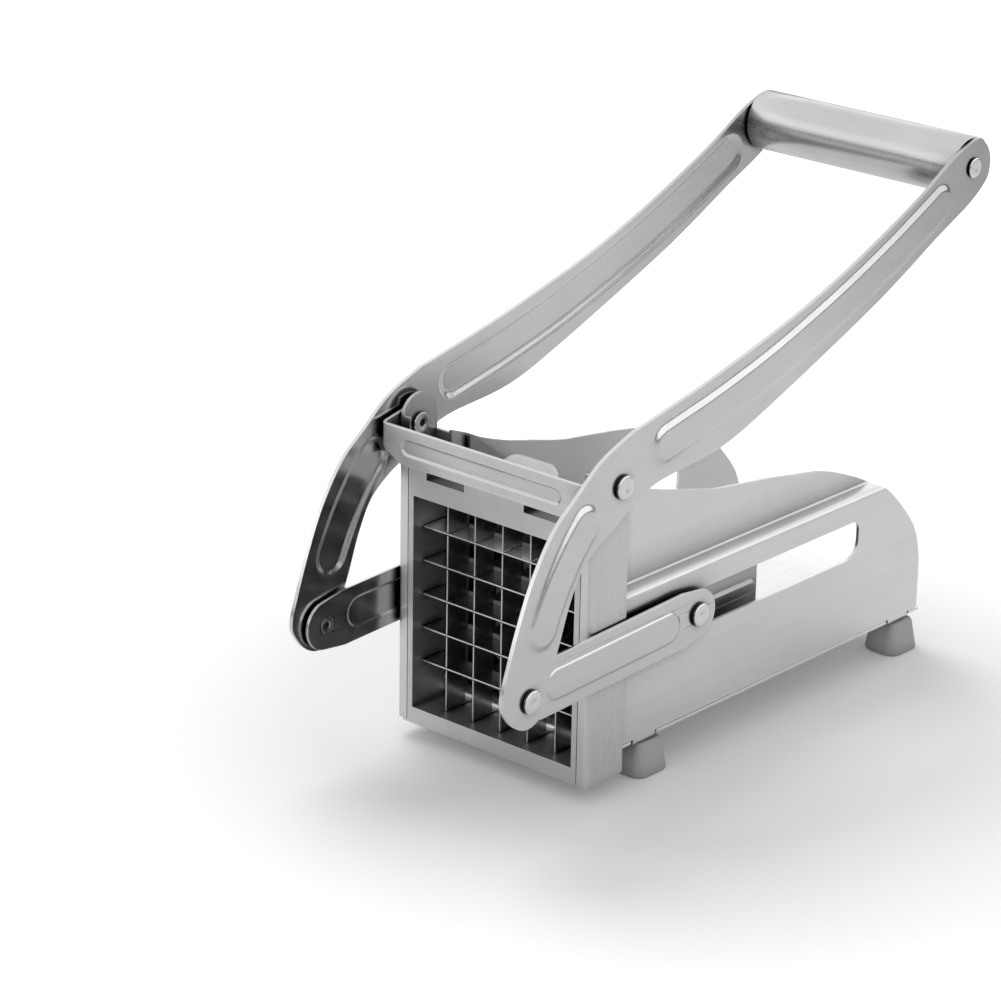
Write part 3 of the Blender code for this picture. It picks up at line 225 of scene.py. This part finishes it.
PIVOT = pivot_of("right_main_pivot_rivet")
LINK_FRONT = pivot_of("right_link_pivot_rivet")
LINK_REAR = pivot_of("right_link_rear_rivet")
GRIP = pivot_of("grip_rod")
ARM_LINE = (GRIP - PIVOT).normalized()
CRANK_LINE = (LINK_FRONT - PIVOT).normalized()
LINK_LINE = (LINK_REAR - LINK_FRONT).normalized()


# Shader nodes

def add(tree, kind, inputs=None, **settings):
    """A new shader node. Each input is given by name or number, as a value or as a socket to link."""
    made = tree.nodes.new("ShaderNode" + kind)
    for key, value in settings.items():
        setattr(made, key, value)
    for key, value in (inputs or {}).items():
        if isinstance(value, bpy.types.NodeSocket):
            tree.links.new(value, made.inputs[key])
        else:
            made.inputs[key].default_value = value
    return made


def calculate(tree, operation, *values):
    return add(tree, "Math", dict(enumerate(values)), operation=operation).outputs[0]


def ramp(tree, value, low, high, low_value=0.0, high_value=1.0):
    """The value's stretch from low to high, spread over low_value to high_value."""
    inputs = {0: value, 1: low, 2: high, 3: low_value, 4: high_value}
    return add(tree, "MapRange", inputs).outputs[0]


def noise(tree, coords, scale, detail, rough, turn=NO_TURN):
    mapped = add(tree, "Mapping", {"Vector": coords, "Rotation": turn, "Scale": scale})
    inputs = {"Vector": mapped.outputs[0], "Scale": 1.0, "Detail": detail, "Roughness": rough}
    return add(tree, "TexNoise", inputs).outputs[0]


def mix_colour(tree, amount, first, second):
    return add(tree, "Mix", {0: amount, 6: first, 7: second}, data_type="RGBA").outputs[2]


def mix_value(tree, amount, first, second):
    return add(tree, "Mix", {0: amount, 2: first, 3: second}).outputs[0]


def scaled(tree, colour, share):
    return add(tree, "VectorMath", {0: colour, 3: share}, operation="SCALE").outputs[0]


def grey(value):
    return (value, value, value, 1)


def place_of(tree):
    """The shaded point's place as X, Y and Z."""
    return add(tree, "SeparateXYZ", {0: add(tree, "TexCoord").outputs["Object"]}).outputs


def normal_of(tree):
    """The face's outward direction as X, Y and Z."""
    return add(tree, "SeparateXYZ", {0: add(tree, "NewGeometry").outputs["Normal"]}).outputs


def edge_mask(tree, radius):
    """Near 1 along edges and near 0 on flat faces."""
    soft = add(tree, "Bevel", {"Radius": radius}, samples=MASK_SAMPLES).outputs[0]
    plain = add(tree, "NewGeometry").outputs["Normal"]
    agreement = add(tree, "VectorMath", {0: soft, 1: plain}, operation="DOT_PRODUCT")
    return ramp(tree, agreement.outputs["Value"], 0.995, 0.90)


def creases(tree, reach, depth, level):
    """The share of colour that painted shade leaves in corners. Level faces lose only the level share
    of the loss.
    """
    open_sky = add(tree, "AmbientOcclusion", {"Distance": reach}, samples=MASK_SAMPLES).outputs["AO"]
    up = calculate(tree, "ABSOLUTE", normal_of(tree)[2])
    hidden = ramp(tree, open_sky, 1.0, 0.35, 0.0, depth)
    upright = ramp(tree, up, 0.2, 0.9, 1.0, level)
    return calculate(tree, "SUBTRACT", 1.0, calculate(tree, "MULTIPLY", hidden, upright))


def shaded(tree, base, reach, depth, inside, level=LEVEL_SHARE):
    """The colour darkened by painted shade in creases and on faces turned to the middle of the cutter.

    The inside pair holds the shares that inward faces keep low down and high up.
    """
    place = place_of(tree)
    inward = ramp(tree, calculate(tree, "MULTIPLY", normal_of(tree)[0], place[0]), -0.005, -0.030)
    inner = mix_value(tree, inward, 1.0, ramp(tree, place[2], 0.100, 0.160, *inside))
    kept = calculate(tree, "MULTIPLY", creases(tree, reach, depth, level), inner)
    return scaled(tree, base, kept)


def fading(tree):
    """Painted shade: levers darken towards the grip."""
    return ramp(tree, place_of(tree)[1], 0.02, 0.125, 1.0, 0.66)


def notches(tree):
    """Painted shade: the two notches in the cassette's top edge are dark inside."""
    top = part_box("blade_frame")[1].z - TAB_RISE
    bottom = top - NOTCH_DEPTH
    place = place_of(tree)
    dark = ramp(tree, calculate(tree, "ABSOLUTE", normal_of(tree)[1]), 0.8, 0.5)
    across = calculate(tree, "ABSOLUTE", place[0])
    for value, none, full in (
        (place[2], top - 0.0004, top - 0.0008),
        (place[2], bottom - 0.0006, bottom - 0.0002),
        (across, NOTCH_OUTER + 0.0009, NOTCH_OUTER + 0.0004),
    ):
        dark = calculate(tree, "MULTIPLY", dark, ramp(tree, value, none, full))
    return ramp(tree, dark, 0.0, 1.0, 1.0, NOTCH_LIGHT)


def crescent(tree):
    """Painted dark reflection: the upper front side of a rivet's head is darkened where it would mirror
    the dark of the room.
    """
    side = ramp(tree, calculate(tree, "ABSOLUTE", normal_of(tree)[0]), 0.85, 0.45)
    normal = add(tree, "NewGeometry").outputs["Normal"]
    aim = add(tree, "VectorMath", {0: normal, 1: (0, -0.8, 0.6)}, operation="DOT_PRODUCT")
    turned = ramp(tree, aim.outputs["Value"], -0.25, 0.35)
    return ramp(tree, calculate(tree, "MULTIPLY", side, turned), 0.0, 1.0, 1.0, 0.05)


# Materials

def new_material(name):
    made = bpy.data.materials.new(name)
    made.use_nodes = True
    tree = made.node_tree
    return made, tree, tree.nodes["Principled BSDF"]


def connect(tree, shader, colour, rough, height, strength, distance):
    """Feeds the shader its colour, its roughness and the relief of the height."""
    relief = add(tree, "Bump", {"Strength": strength, "Distance": distance, "Height": height})
    tree.links.new(colour, shader.inputs["Base Color"])
    tree.links.new(rough, shader.inputs["Roughness"])
    tree.links.new(relief.outputs[0], shader.inputs["Normal"])


def brushed(name, light, dark, rough, grain, turn=NO_TURN, bump=0.35, edge=0.0004, reach=0.010,
            depth=0.75, inside=(0.75, 0.9), level=LEVEL_SHARE, painted_shade=None):
    """Brushed steel between two greys. The grain gives the hairlines' fineness and the turn leans them.

    Edges within the edge radius are bright, creases within reach lose up to the depth share to painted
    shade, and the last function darkens by painted shade of its own.
    """
    made, tree, shader = new_material(name)
    coords = add(tree, "TexCoord").outputs["Object"]
    fine = noise(tree, coords, grain, 3.0, 0.7, turn)
    streak = noise(tree, coords, [size * STREAK_FINENESS for size in grain], 3.0, 0.6, turn)
    cloud = noise(tree, coords, (38, 38, 38), 3.0, 0.55)
    spots = noise(tree, coords, (420, 420, 420), 2.0, 0.5)
    hairlines = mix_value(tree, STREAK_SHARE, ramp(tree, fine, *HALF), ramp(tree, streak, 0.32, 0.68))
    tone = mix_value(tree, CLOUD_SHARE, hairlines, ramp(tree, cloud, *HALF))
    edges = edge_mask(tree, edge)
    base = mix_colour(tree, tone, grey(dark), grey(light))
    base = mix_colour(tree, edges, base, grey(min(light * EDGE_GAIN, BRIGHTEST)))
    base = shaded(tree, base, reach, depth, inside, level)
    # painted shade towards a lever's grip, in the cassette's notches, and as a dark reflection on rivet
    # heads
    if painted_shade:
        base = scaled(tree, base, painted_shade(tree))
    even = ramp(tree, tone, 0.0, 1.0, rough + 0.07, rough - 0.05)
    worn = mix_value(tree, ramp(tree, spots, 0.62, 0.75, 0.0, 0.35), even, rough + 0.16)
    final = mix_value(tree, edges, worn, rough * 0.85)
    connect(tree, shader, base, final, hairlines, bump, HAIRLINE_HEIGHT)
    shader.inputs["Metallic"].default_value = 1.0
    return made


def moulded(name, light, dark, rough, size, bump, edge_light, painted_front_light=0.0):
    """Moulded plastic, nylon or rubber with a fine uneven skin and rubbed edges.

    A tip value gives faces turned to the front a painted light grey, as on the studs' tips.
    """
    made, tree, shader = new_material(name)
    coords = add(tree, "TexCoord").outputs["Object"]
    skin = noise(tree, coords, (size,) * 3, 4.0, 0.65)
    cloud = noise(tree, coords, (60, 60, 60), 3.0, 0.55)
    tone = mix_value(tree, 0.5, ramp(tree, skin, *HALF), ramp(tree, cloud, *HALF))
    edges = edge_mask(tree, MOULDED_EDGE)
    base = mix_colour(tree, tone, dark, light)
    rubbed = tuple(min(channel + edge_light, 1.0) for channel in light[:3]) + (1,)
    base = mix_colour(tree, edges, base, rubbed)
    if painted_front_light:
        # painted light: faces turned to the front are lightened to the given grey
        base = mix_colour(tree, ramp(tree, normal_of(tree)[1], -0.90, -0.99), base, grey(painted_front_light))
    base = shaded(tree, base, 0.006, 0.9 if painted_front_light else 0.5, (1.0, 1.0))
    final = ramp(tree, tone, 0.0, 1.0, rough + 0.08, rough - 0.06)
    connect(tree, shader, base, final, skin, bump, SKIN_HEIGHT)
    return made


MATERIALS = {
    "wall_steel": brushed("wall_sheet", 0.82, 0.74, 0.30, ALONG, reach=0.013, depth=0.96),
    "floor_steel": brushed("floor_sheet", 0.84, 0.74, 0.30, ALONG, depth=0.3),
    "post_steel": brushed("post_sheet", 0.74, 0.65, 0.27, UP),
    "strap_steel": brushed("strap_sheet", 0.72, 0.62, 0.27, ACROSS),
    "lever_steel": brushed(
        "lever_strip", 0.76, 0.68, 0.19, ALONG, ARM_TURN, reach=0.0025, depth=0.6,
        inside=(0.85, 1.0), painted_shade=fading,
    ),
    "grip_steel": brushed("grip_sheet", 0.66, 0.54, 0.28, ACROSS),
    "link_steel": brushed(
        "link_strip", 0.76, 0.68, 0.20, ALONG, reach=0.003, depth=0.7, inside=(0.9, 0.9)
    ),
    "carriage_steel": brushed("carriage_sheet", 0.52, 0.42, 0.34, ALONG),
    "cassette_metal": brushed(
        "cassette_metal", 0.66, 0.56, 0.42, SATIN, bump=0.5, reach=0.0035, depth=0.97,
        inside=(1.0, 1.0), level=1.0, painted_shade=notches,
    ),
    "blade_steel": brushed("blade_strip", 0.66, 0.52, 0.22, ACROSS, edge=0.0003),
    "rivet_steel": brushed(
        "rivet_metal", 0.88, 0.78, 0.20, TURNED, bump=0.15, reach=0.0015, painted_shade=crescent
    ),
    "screw_steel": brushed("screw_metal", 0.62, 0.50, 0.26, TURNED, bump=0.2),
    "black_plastic": moulded(
        "black_moulding", (0.040, 0.040, 0.042, 1), (0.026, 0.026, 0.028, 1), 0.42, 1800, 0.25,
        0.03, painted_front_light=0.38,
    ),
    "white_nylon": moulded(
        "white_moulding", (0.82, 0.82, 0.80, 1), (0.74, 0.74, 0.71, 1), 0.40, 1500, 0.15, 0.05
    ),
    "grey_rubber": moulded(
        "grey_rubber", (0.50, 0.50, 0.505, 1), (0.40, 0.40, 0.405, 1), 0.62, 1400, 0.5, 0.06
    ),
}
SLOTS = {entry["node"]: entry["material_slot"] for entry in frame["record"]["subparts"]}


# Outlines

def arc(centre, radius, start, end, steps=ROUND_STEPS // 4):
    turns = [math.radians(start + (end - start) * i / steps) for i in range(steps + 1)]
    return [(centre[0] + radius * math.cos(t), centre[1] + radius * math.sin(t)) for t in turns]


def circle(centre, radius, steps=ROUND_STEPS):
    return arc(centre, radius, 0, 360, steps)[:-1]


def heading(line):
    return math.degrees(math.atan2(line.y, line.x))


def smooth(points, closed):
    """A soft curve through the points, with FINE_STEPS stretches between each two."""
    count = len(points)
    last = count if closed else count - 1
    out = []
    for i in range(last):
        around = []
        for j in (i - 1, i, i + 1, i + 2):
            around.append(Vector(points[j % count if closed else min(max(j, 0), count - 1)]))
        a, b, c, d = around
        for k in range(FINE_STEPS):
            t = k / FINE_STEPS
            point = b + (c - a) * t / 2 + (a - 2.5 * b + 2 * c - d / 2) * t**2
            out.append(point + (3 * b - a - 3 * c + d) * t**3 / 2)
    if not closed:
        out.append(Vector(points[-1]))
    return [tuple(point) for point in out]


def ribbon(centre_line, half_width):
    """The outline of a strip with round ends along a centre line."""
    line = [Vector(point) for point in centre_line]
    left, right = [], []
    for i, point in enumerate(line):
        run = (line[min(i + 1, len(line) - 1)] - line[max(i - 1, 0)]).normalized()
        side = Vector((-run.y, run.x)) * half_width
        left.append(tuple(point + side))
        right.append(tuple(point - side))
    head = heading((line[-1] - line[-2]).normalized())
    tail = heading((line[0] - line[1]).normalized())
    outline = right[:-1] + arc(line[-1], half_width, head - 90, head + 90)
    return outline + left[-2:0:-1] + arc(line[0], half_width, tail - 90, tail + 90)[:-1]


def in_frame(origin, along, shares, size):
    """Points at shares of a size along a line and across it."""
    across = Vector((-along.y, along.x))
    return [tuple(origin + size * (a * along + b * across)) for a, b in shares]


def on_crank(shares):
    return in_frame(PIVOT, CRANK_LINE, [(a, -b) for a, b in shares], CRANK)


def on_arm(shares):
    return in_frame(PIVOT, ARM_LINE, shares, ARM)


def lever_outline():
    end = arc(GRIP, ARM_END, ARM_DEGREES - ARM_END_SWEEP, ARM_DEGREES + ARM_END_SWEEP, ARM_END_STEPS)
    below = on_crank(CRANK_SHARES) + on_arm(ARM_BOTTOM_SHARES)
    return smooth(below + end + on_arm(ARM_TOP_SHARES), closed=True)


def link_outline():
    across = Vector((-LINK_LINE.y, LINK_LINE.x))
    turn = heading(LINK_LINE)
    front, rear = LINK_FRONT + LINK_END * LINK_LINE, LINK_REAR - LINK_END * LINK_LINE
    low = [tuple(end - LINK_HALF_WIDTH * across) for end in (front, rear)]
    high = [tuple(end + LINK_HALF_WIDTH * across) for end in (rear, front)]
    rear_end = arc(LINK_REAR, LINK_END, turn - LINK_END_SWEEP, turn + LINK_END_SWEEP)
    front_end = arc(LINK_FRONT, LINK_END, turn + 180 - LINK_END_SWEEP, turn + 180 + LINK_END_SWEEP)
    return low + rear_end + high + front_end


# Meshes

def add_cap(build, loops, level):
    """Fills the area between the first loop and the rest at one X, and returns the vertices."""
    verts = [build.verts.new((level, u, v)) for loop in loops for u, v in loop]
    for triangle in tessellate_polygon([[(u, v, 0) for u, v in loop] for loop in loops]):
        build.faces.new([verts[i] for i in triangle])
    grouped = []
    for loop in loops:
        grouped.append(verts[: len(loop)])
        verts = verts[len(loop):]
    return grouped


def add_ring(build, x, points):
    return [build.verts.new((x, u, v)) for u, v in points]


def bridge(build, first, second):
    for i in range(len(first)):
        j = (i + 1) % len(first)
        build.faces.new((first[i], first[j], second[j], second[i]))


def show(name, build, nodes, bevel=0.0, sharp=0):
    """Makes the piece, gives it its material, and lets it ride on the body of the nodes it replaces."""
    mesh = bpy.data.meshes.new(name)
    bmesh.ops.recalc_face_normals(build, faces=build.faces)
    build.to_mesh(mesh)
    build.free()
    mesh.shade_smooth()
    obj = bpy.data.objects.new(name, mesh)
    bpy.context.scene.collection.objects.link(obj)
    slot = SLOTS[nodes[0]]
    obj.data.materials.append(MATERIALS[slot])
    if bevel:
        rounding = obj.modifiers.new("rounding", "BEVEL")
        rounding.width = bevel
        rounding.segments = 2
        rounding.limit_method = "ANGLE"
        rounding.angle_limit = math.radians(sharp)
        rounding.miter_outer = "MITER_ARC"
        weighting = obj.modifiers.new("weighting", "WEIGHTED_NORMAL")
        weighting.weight = 90
        weighting.keep_sharp = True
    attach(obj, frame["nodes"][nodes[0]]["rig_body"])
    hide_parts(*nodes)
    return obj


def dress(node, rounding):
    """A copy of a node's solid with its coplanar faces joined and its edges rounded."""
    build = bmesh.new()
    build.from_mesh(frame["nodes"][node].data)
    bmesh.ops.remove_doubles(build, verts=build.verts, dist=MERGE_DISTANCE)
    bmesh.ops.dissolve_limit(
        build, angle_limit=math.radians(COPLANAR_DEGREES), verts=build.verts, edges=build.edges
    )
    show(f"{node}_skin", build, [node], rounding, DRESSED_SHARP)


def lathe(node, profile, centre):
    """A round piece about a line along X, from (X, radius) pairs that start and end on the axis."""
    build = bmesh.new()
    rings = []
    for x, radius in profile:
        if radius == 0:
            rings.append([build.verts.new((x, *centre))])
        else:
            rings.append(add_ring(build, x, circle(centre, radius)))
    for first, second in zip(rings, rings[1:]):
        short, long = sorted((first, second), key=len)
        if len(short) > 1:
            bridge(build, first, second)
        else:
            for i in range(len(long)):
                build.faces.new((short[0], long[i], long[(i + 1) % len(long)]))
    obj = show(f"{node}_turned", build, [node])
    obj.data.set_sharp_from_angle(angle=math.radians(TURNED_SHARP))


def bead_rings(line, half_width, slope, depth):
    """Outlines from a bead's rim to its crest, each with its height, on a soft S."""
    rings = []
    for i in range(BEAD_RINGS + 1):
        share = i / BEAD_RINGS
        soft = share * share * (3 - 2 * share)
        rings.append((ribbon(line, half_width - slope * share), depth * soft))
    return rings


def pressed_strip(node, side, sheet, outline, holes, beads, rounding):
    """A lever or link, with holes, and beads that step both of its faces alike."""
    low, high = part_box(node)
    inner = min(abs(low.x), abs(high.x))
    build = bmesh.new()
    rims = [rings[0][0] for rings in beads]
    faces = []
    for level in (side * inner, side * (inner + sheet)):
        loops = add_cap(build, [outline, *holes, *rims], level)
        faces.append(loops)
        for number, rings in enumerate(beads, 1 + len(holes)):
            previous = loops[number]
            for ring, shift in rings[1:-1]:
                verts = add_ring(build, level + shift, ring)
                bridge(build, previous, verts)
                previous = verts
            ring, shift = rings[-1]
            bridge(build, previous, add_cap(build, [ring], level + shift)[0])
    for i in range(1 + len(holes)):
        bridge(build, faces[0][i], faces[1][i])
    show(f"{node}_strip", build, [node], rounding, STRIP_SHARP)


# Pieces

def make_levers():
    arm_line = smooth(on_arm(ARM_BEAD_SHARES), closed=False)
    crank_line = smooth(on_crank(CRANK_BEAD_SHARES), closed=False)
    holes = [circle(PIVOT, HOLE), circle(GRIP, ROD_HOLE), circle(LINK_FRONT, HOLE)]
    for name, side in SIDES:
        beads = [
            bead_rings(arm_line, ARM_BEAD_HALF_WIDTH, BEAD_SLOPE, side * BEAD_DEPTH),
            bead_rings(crank_line, CRANK_BEAD_HALF_WIDTH, BEAD_SLOPE, side * BEAD_DEPTH),
        ]
        pressed_strip(
            f"{name}_lever", side, LEVER_SHEET, lever_outline(), holes, beads, LEVER_ROUNDING
        )


def make_links():
    start = tuple(LINK_FRONT + LINK_BEAD_INSET * LINK_LINE)
    end = tuple(LINK_REAR - LINK_BEAD_INSET * LINK_LINE)
    holes = [circle(LINK_FRONT, HOLE), circle(LINK_REAR, HOLE)]
    for name, side in SIDES:
        bead = bead_rings(
            [start, end], LINK_BEAD_HALF_WIDTH, LINK_BEAD_SLOPE, side * LINK_BEAD_DEPTH
        )
        pressed_strip(
            f"{name}_link", side, LINK_SHEET, link_outline(), holes, [bead], LINK_ROUNDING
        )


def rivet_head(base, radius, height):
    """(X, radius) pairs of a low domed head with a dimple, from its base outwards to the axis."""
    pairs = [(base, radius - RIVET_EASE), (base + RIVET_EASE, radius), (base + height * 0.3, radius)]
    for i in range(1, DOME_STEPS + 1):
        turn = math.radians(90 * i / DOME_STEPS)
        across = radius - DOME_INSET * (1 - math.cos(turn))
        pairs.append((base + height * (0.3 + 0.6 * math.sin(turn)), across))
    pairs += [(base + height, radius * 0.45), (base + height * 0.97, radius * 0.36)]
    return pairs + [(base + height * 0.80, radius * 0.20), (base + height * 0.76, 0)]


def rivet_tail(node, inner):
    """(X, radius) pairs of a rivet's hollow inner end. The main pivot's is spread flat."""
    bottom = inner + RIVET_BORE_DEPTH
    tail = [(bottom, 0), (bottom, RIVET_BORE), (inner + RIVET_EASE, RIVET_BORE),
            (inner, RIVET_BORE + 2 * RIVET_EASE)]
    if node == "main_pivot_rivet":
        back = inner + MAIN_TAIL
        return tail + [(inner, MAIN_TAIL_RADIUS - MAIN_TAIL_EASE),
                       (inner + MAIN_TAIL_EASE, MAIN_TAIL_RADIUS),
                       (back, MAIN_TAIL_RADIUS), (back, RIVET_SHANK)]
    return tail + [(inner, RIVET_SHANK - RIVET_EASE), (inner + RIVET_EASE, RIVET_SHANK)]


def make_rivets():
    for name, side in SIDES:
        for node, centre in (("main_pivot_rivet", PIVOT), ("link_pivot_rivet", LINK_FRONT),
                             ("link_rear_rivet", LINK_REAR)):
            low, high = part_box(f"{name}_{node}")
            outer, inner = max(abs(low.x), abs(high.x)), min(abs(low.x), abs(high.x))
            seat = outer - RIVET_SEAT
            profile = rivet_tail(node, inner) + [(seat, RIVET_SHANK)]
            profile += rivet_head(seat, RIVET_HEAD_RADIUS, RIVET_HEAD_HEIGHT)
            lathe(f"{name}_{node}", [(side * x, r) for x, r in profile], centre)


def make_grip():
    """The grip's tube with its rolled ends, and the rod through it."""
    low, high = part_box("grip_tube")
    reach = high.x
    radius = (high.y - low.y) / 2
    bore = radius - GRIP_SHEET
    build = bmesh.new()
    stations = [(-reach, bore + 0.0002), (-reach, radius - 0.0008)]
    stations += [(-reach + 0.0002, radius - 0.0004), (-reach + 0.0007, radius)]
    stations += [(x, radius) for x in (-reach * 0.5, 0, reach * 0.5)]
    stations += [(-x, r) for x, r in reversed(stations[:4])]
    stations += [(reach - 0.0002, bore), (-reach + 0.0002, bore)]
    rings = [add_ring(build, x, circle(GRIP, r, GRIP_STEPS)) for x, r in stations]
    for first, second in zip(rings, rings[1:] + rings[:1]):
        bridge(build, first, second)
    tube = show("grip_tube_sheet", build, ["grip_tube"])
    tube.data.set_sharp_from_angle(angle=math.radians(GRIP_SHARP))
    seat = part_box("grip_rod")[1].x - ROD_HEAD_HEIGHT
    head = rivet_head(seat, RIVET_HEAD_RADIUS, ROD_HEAD_HEIGHT)
    half = [(seat, ROD_SHANK)] + [(x, r * ROD_HEAD_SHARE) for x, r in head]
    lathe("grip_rod", [(-x, r) for x, r in reversed(half)] + half, GRIP)


def make_dressed():
    for name, _ in SIDES:
        for pattern, rounding in SIDE_ROUNDING.items():
            dress(pattern.format(name), rounding)
    for node, rounding in MIDDLE_ROUNDING.items():
        dress(node, rounding)
    for number in range(1, SCREWS + 1):
        dress(f"block_screw_{number}", SCREW_ROUNDING)
    for number in range(1, BLADES + 1):
        dress(f"vertical_blade_{number}", BLADE_ROUNDING)
        dress(f"horizontal_blade_{number}", BLADE_ROUNDING)


# Floor, light and camera

def make_floor():
    build = bmesh.new()
    bmesh.ops.create_grid(build, x_segments=1, y_segments=1, size=FLOOR_SIZE)
    mesh = bpy.data.meshes.new("floor")
    build.to_mesh(mesh)
    build.free()
    floor = bpy.data.objects.new("floor", mesh)
    floor.location.z = -FLOOR_DROP
    bpy.context.scene.collection.objects.link(floor)
    made, tree, shader = new_material("floor_white")
    shader.inputs["Base Color"].default_value = FLOOR_WHITE
    shader.inputs["Roughness"].default_value = FLOOR_ROUGHNESS
    shader.inputs["Specular IOR Level"].default_value = FLOOR_GLOSS
    path = add(tree, "LightPath")
    coords = add(tree, "TexCoord").outputs["Object"]
    away = add(tree, "VectorMath", {0: coords}, operation="LENGTH").outputs["Value"]
    lift = ramp(tree, away, FLOOR_GLOW_START, FLOOR_GLOW_END, FLOOR_GLOW_NEAR, FLOOR_GLOW_FAR)
    strength = calculate(tree, "MULTIPLY", path.outputs["Is Camera Ray"], lift)
    glow = add(tree, "Emission", {"Color": WHITE, "Strength": strength})
    both = add(tree, "AddShader", {0: shader.outputs[0], 1: glow.outputs[0]})
    tree.links.new(both.outputs[0], tree.nodes["Material Output"].inputs["Surface"])
    mesh.materials.append(made)


def make_world():
    """Plain white light, and the room as the camera and mirroring surfaces see it."""
    world = bpy.data.worlds.new("studio")
    bpy.context.scene.world = world
    world.use_nodes = True
    tree = world.node_tree
    ambient = tree.nodes["Background"]
    ambient.inputs["Color"].default_value = WHITE
    ambient.inputs["Strength"].default_value = AMBIENT
    coords = add(tree, "TexCoord").outputs["Generated"]
    height = add(tree, "SeparateXYZ", {0: coords}).outputs[2]
    level = calculate(tree, "MULTIPLY", ramp(tree, height, *HORIZON), ramp(tree, height, *CEILING))
    room = add(tree, "Background", {"Color": WHITE, "Strength": level})
    path = add(tree, "LightPath").outputs
    seen = calculate(tree, "MAXIMUM", path["Is Camera Ray"], path["Is Glossy Ray"])
    seen = calculate(tree, "MAXIMUM", seen, path["Is Transmission Ray"])
    both = add(tree, "MixShader", {0: seen, 1: ambient.outputs[0], 2: room.outputs[0]})
    tree.links.new(both.outputs[0], tree.nodes["World Output"].inputs["Surface"])


def make_lamp():
    data = bpy.data.lights.new("key", "AREA")
    data.shape = "DISK"
    data.size = LAMP_SIZE
    data.energy = LAMP_POWER
    lamp = bpy.data.objects.new("key", data)
    lamp.location = LAMP_PLACE
    lamp.visible_glossy = False
    lamp.rotation_mode = "QUATERNION"
    lamp.rotation_quaternion = (LAMP_AIM - LAMP_PLACE).to_track_quat("-Z", "Y")
    bpy.context.scene.collection.objects.link(lamp)


def make_camera():
    scene = bpy.context.scene
    data = bpy.data.cameras.new("camera")
    data.lens = LENS
    data.sensor_width = SENSOR
    data.clip_start, data.clip_end = 0.05, 20
    camera = bpy.data.objects.new("camera", data)
    scene.collection.objects.link(camera)
    turn, rise, roll = (math.radians(a) for a in (AZIMUTH, ELEVATION, ROLL))
    back = Vector((
        math.sin(turn) * math.cos(rise), -math.cos(turn) * math.cos(rise), math.sin(rise),
    ))
    right = (-back).cross(Vector((0, 0, 1))).normalized()
    up = right.cross(-back)
    side = right * math.cos(roll) + up * math.sin(roll)
    head = up * math.cos(roll) - right * math.sin(roll)
    camera.matrix_world = Matrix.Translation(TARGET + back * DISTANCE) @ Matrix(
        (side, head, back)
    ).transposed().to_4x4()
    scene.camera = camera


make_camera()
make_world()
make_floor()
make_lamp()
make_levers()
make_links()
make_rivets()
make_grip()
make_dressed()
bpy.context.scene.view_settings.view_transform = "Standard"
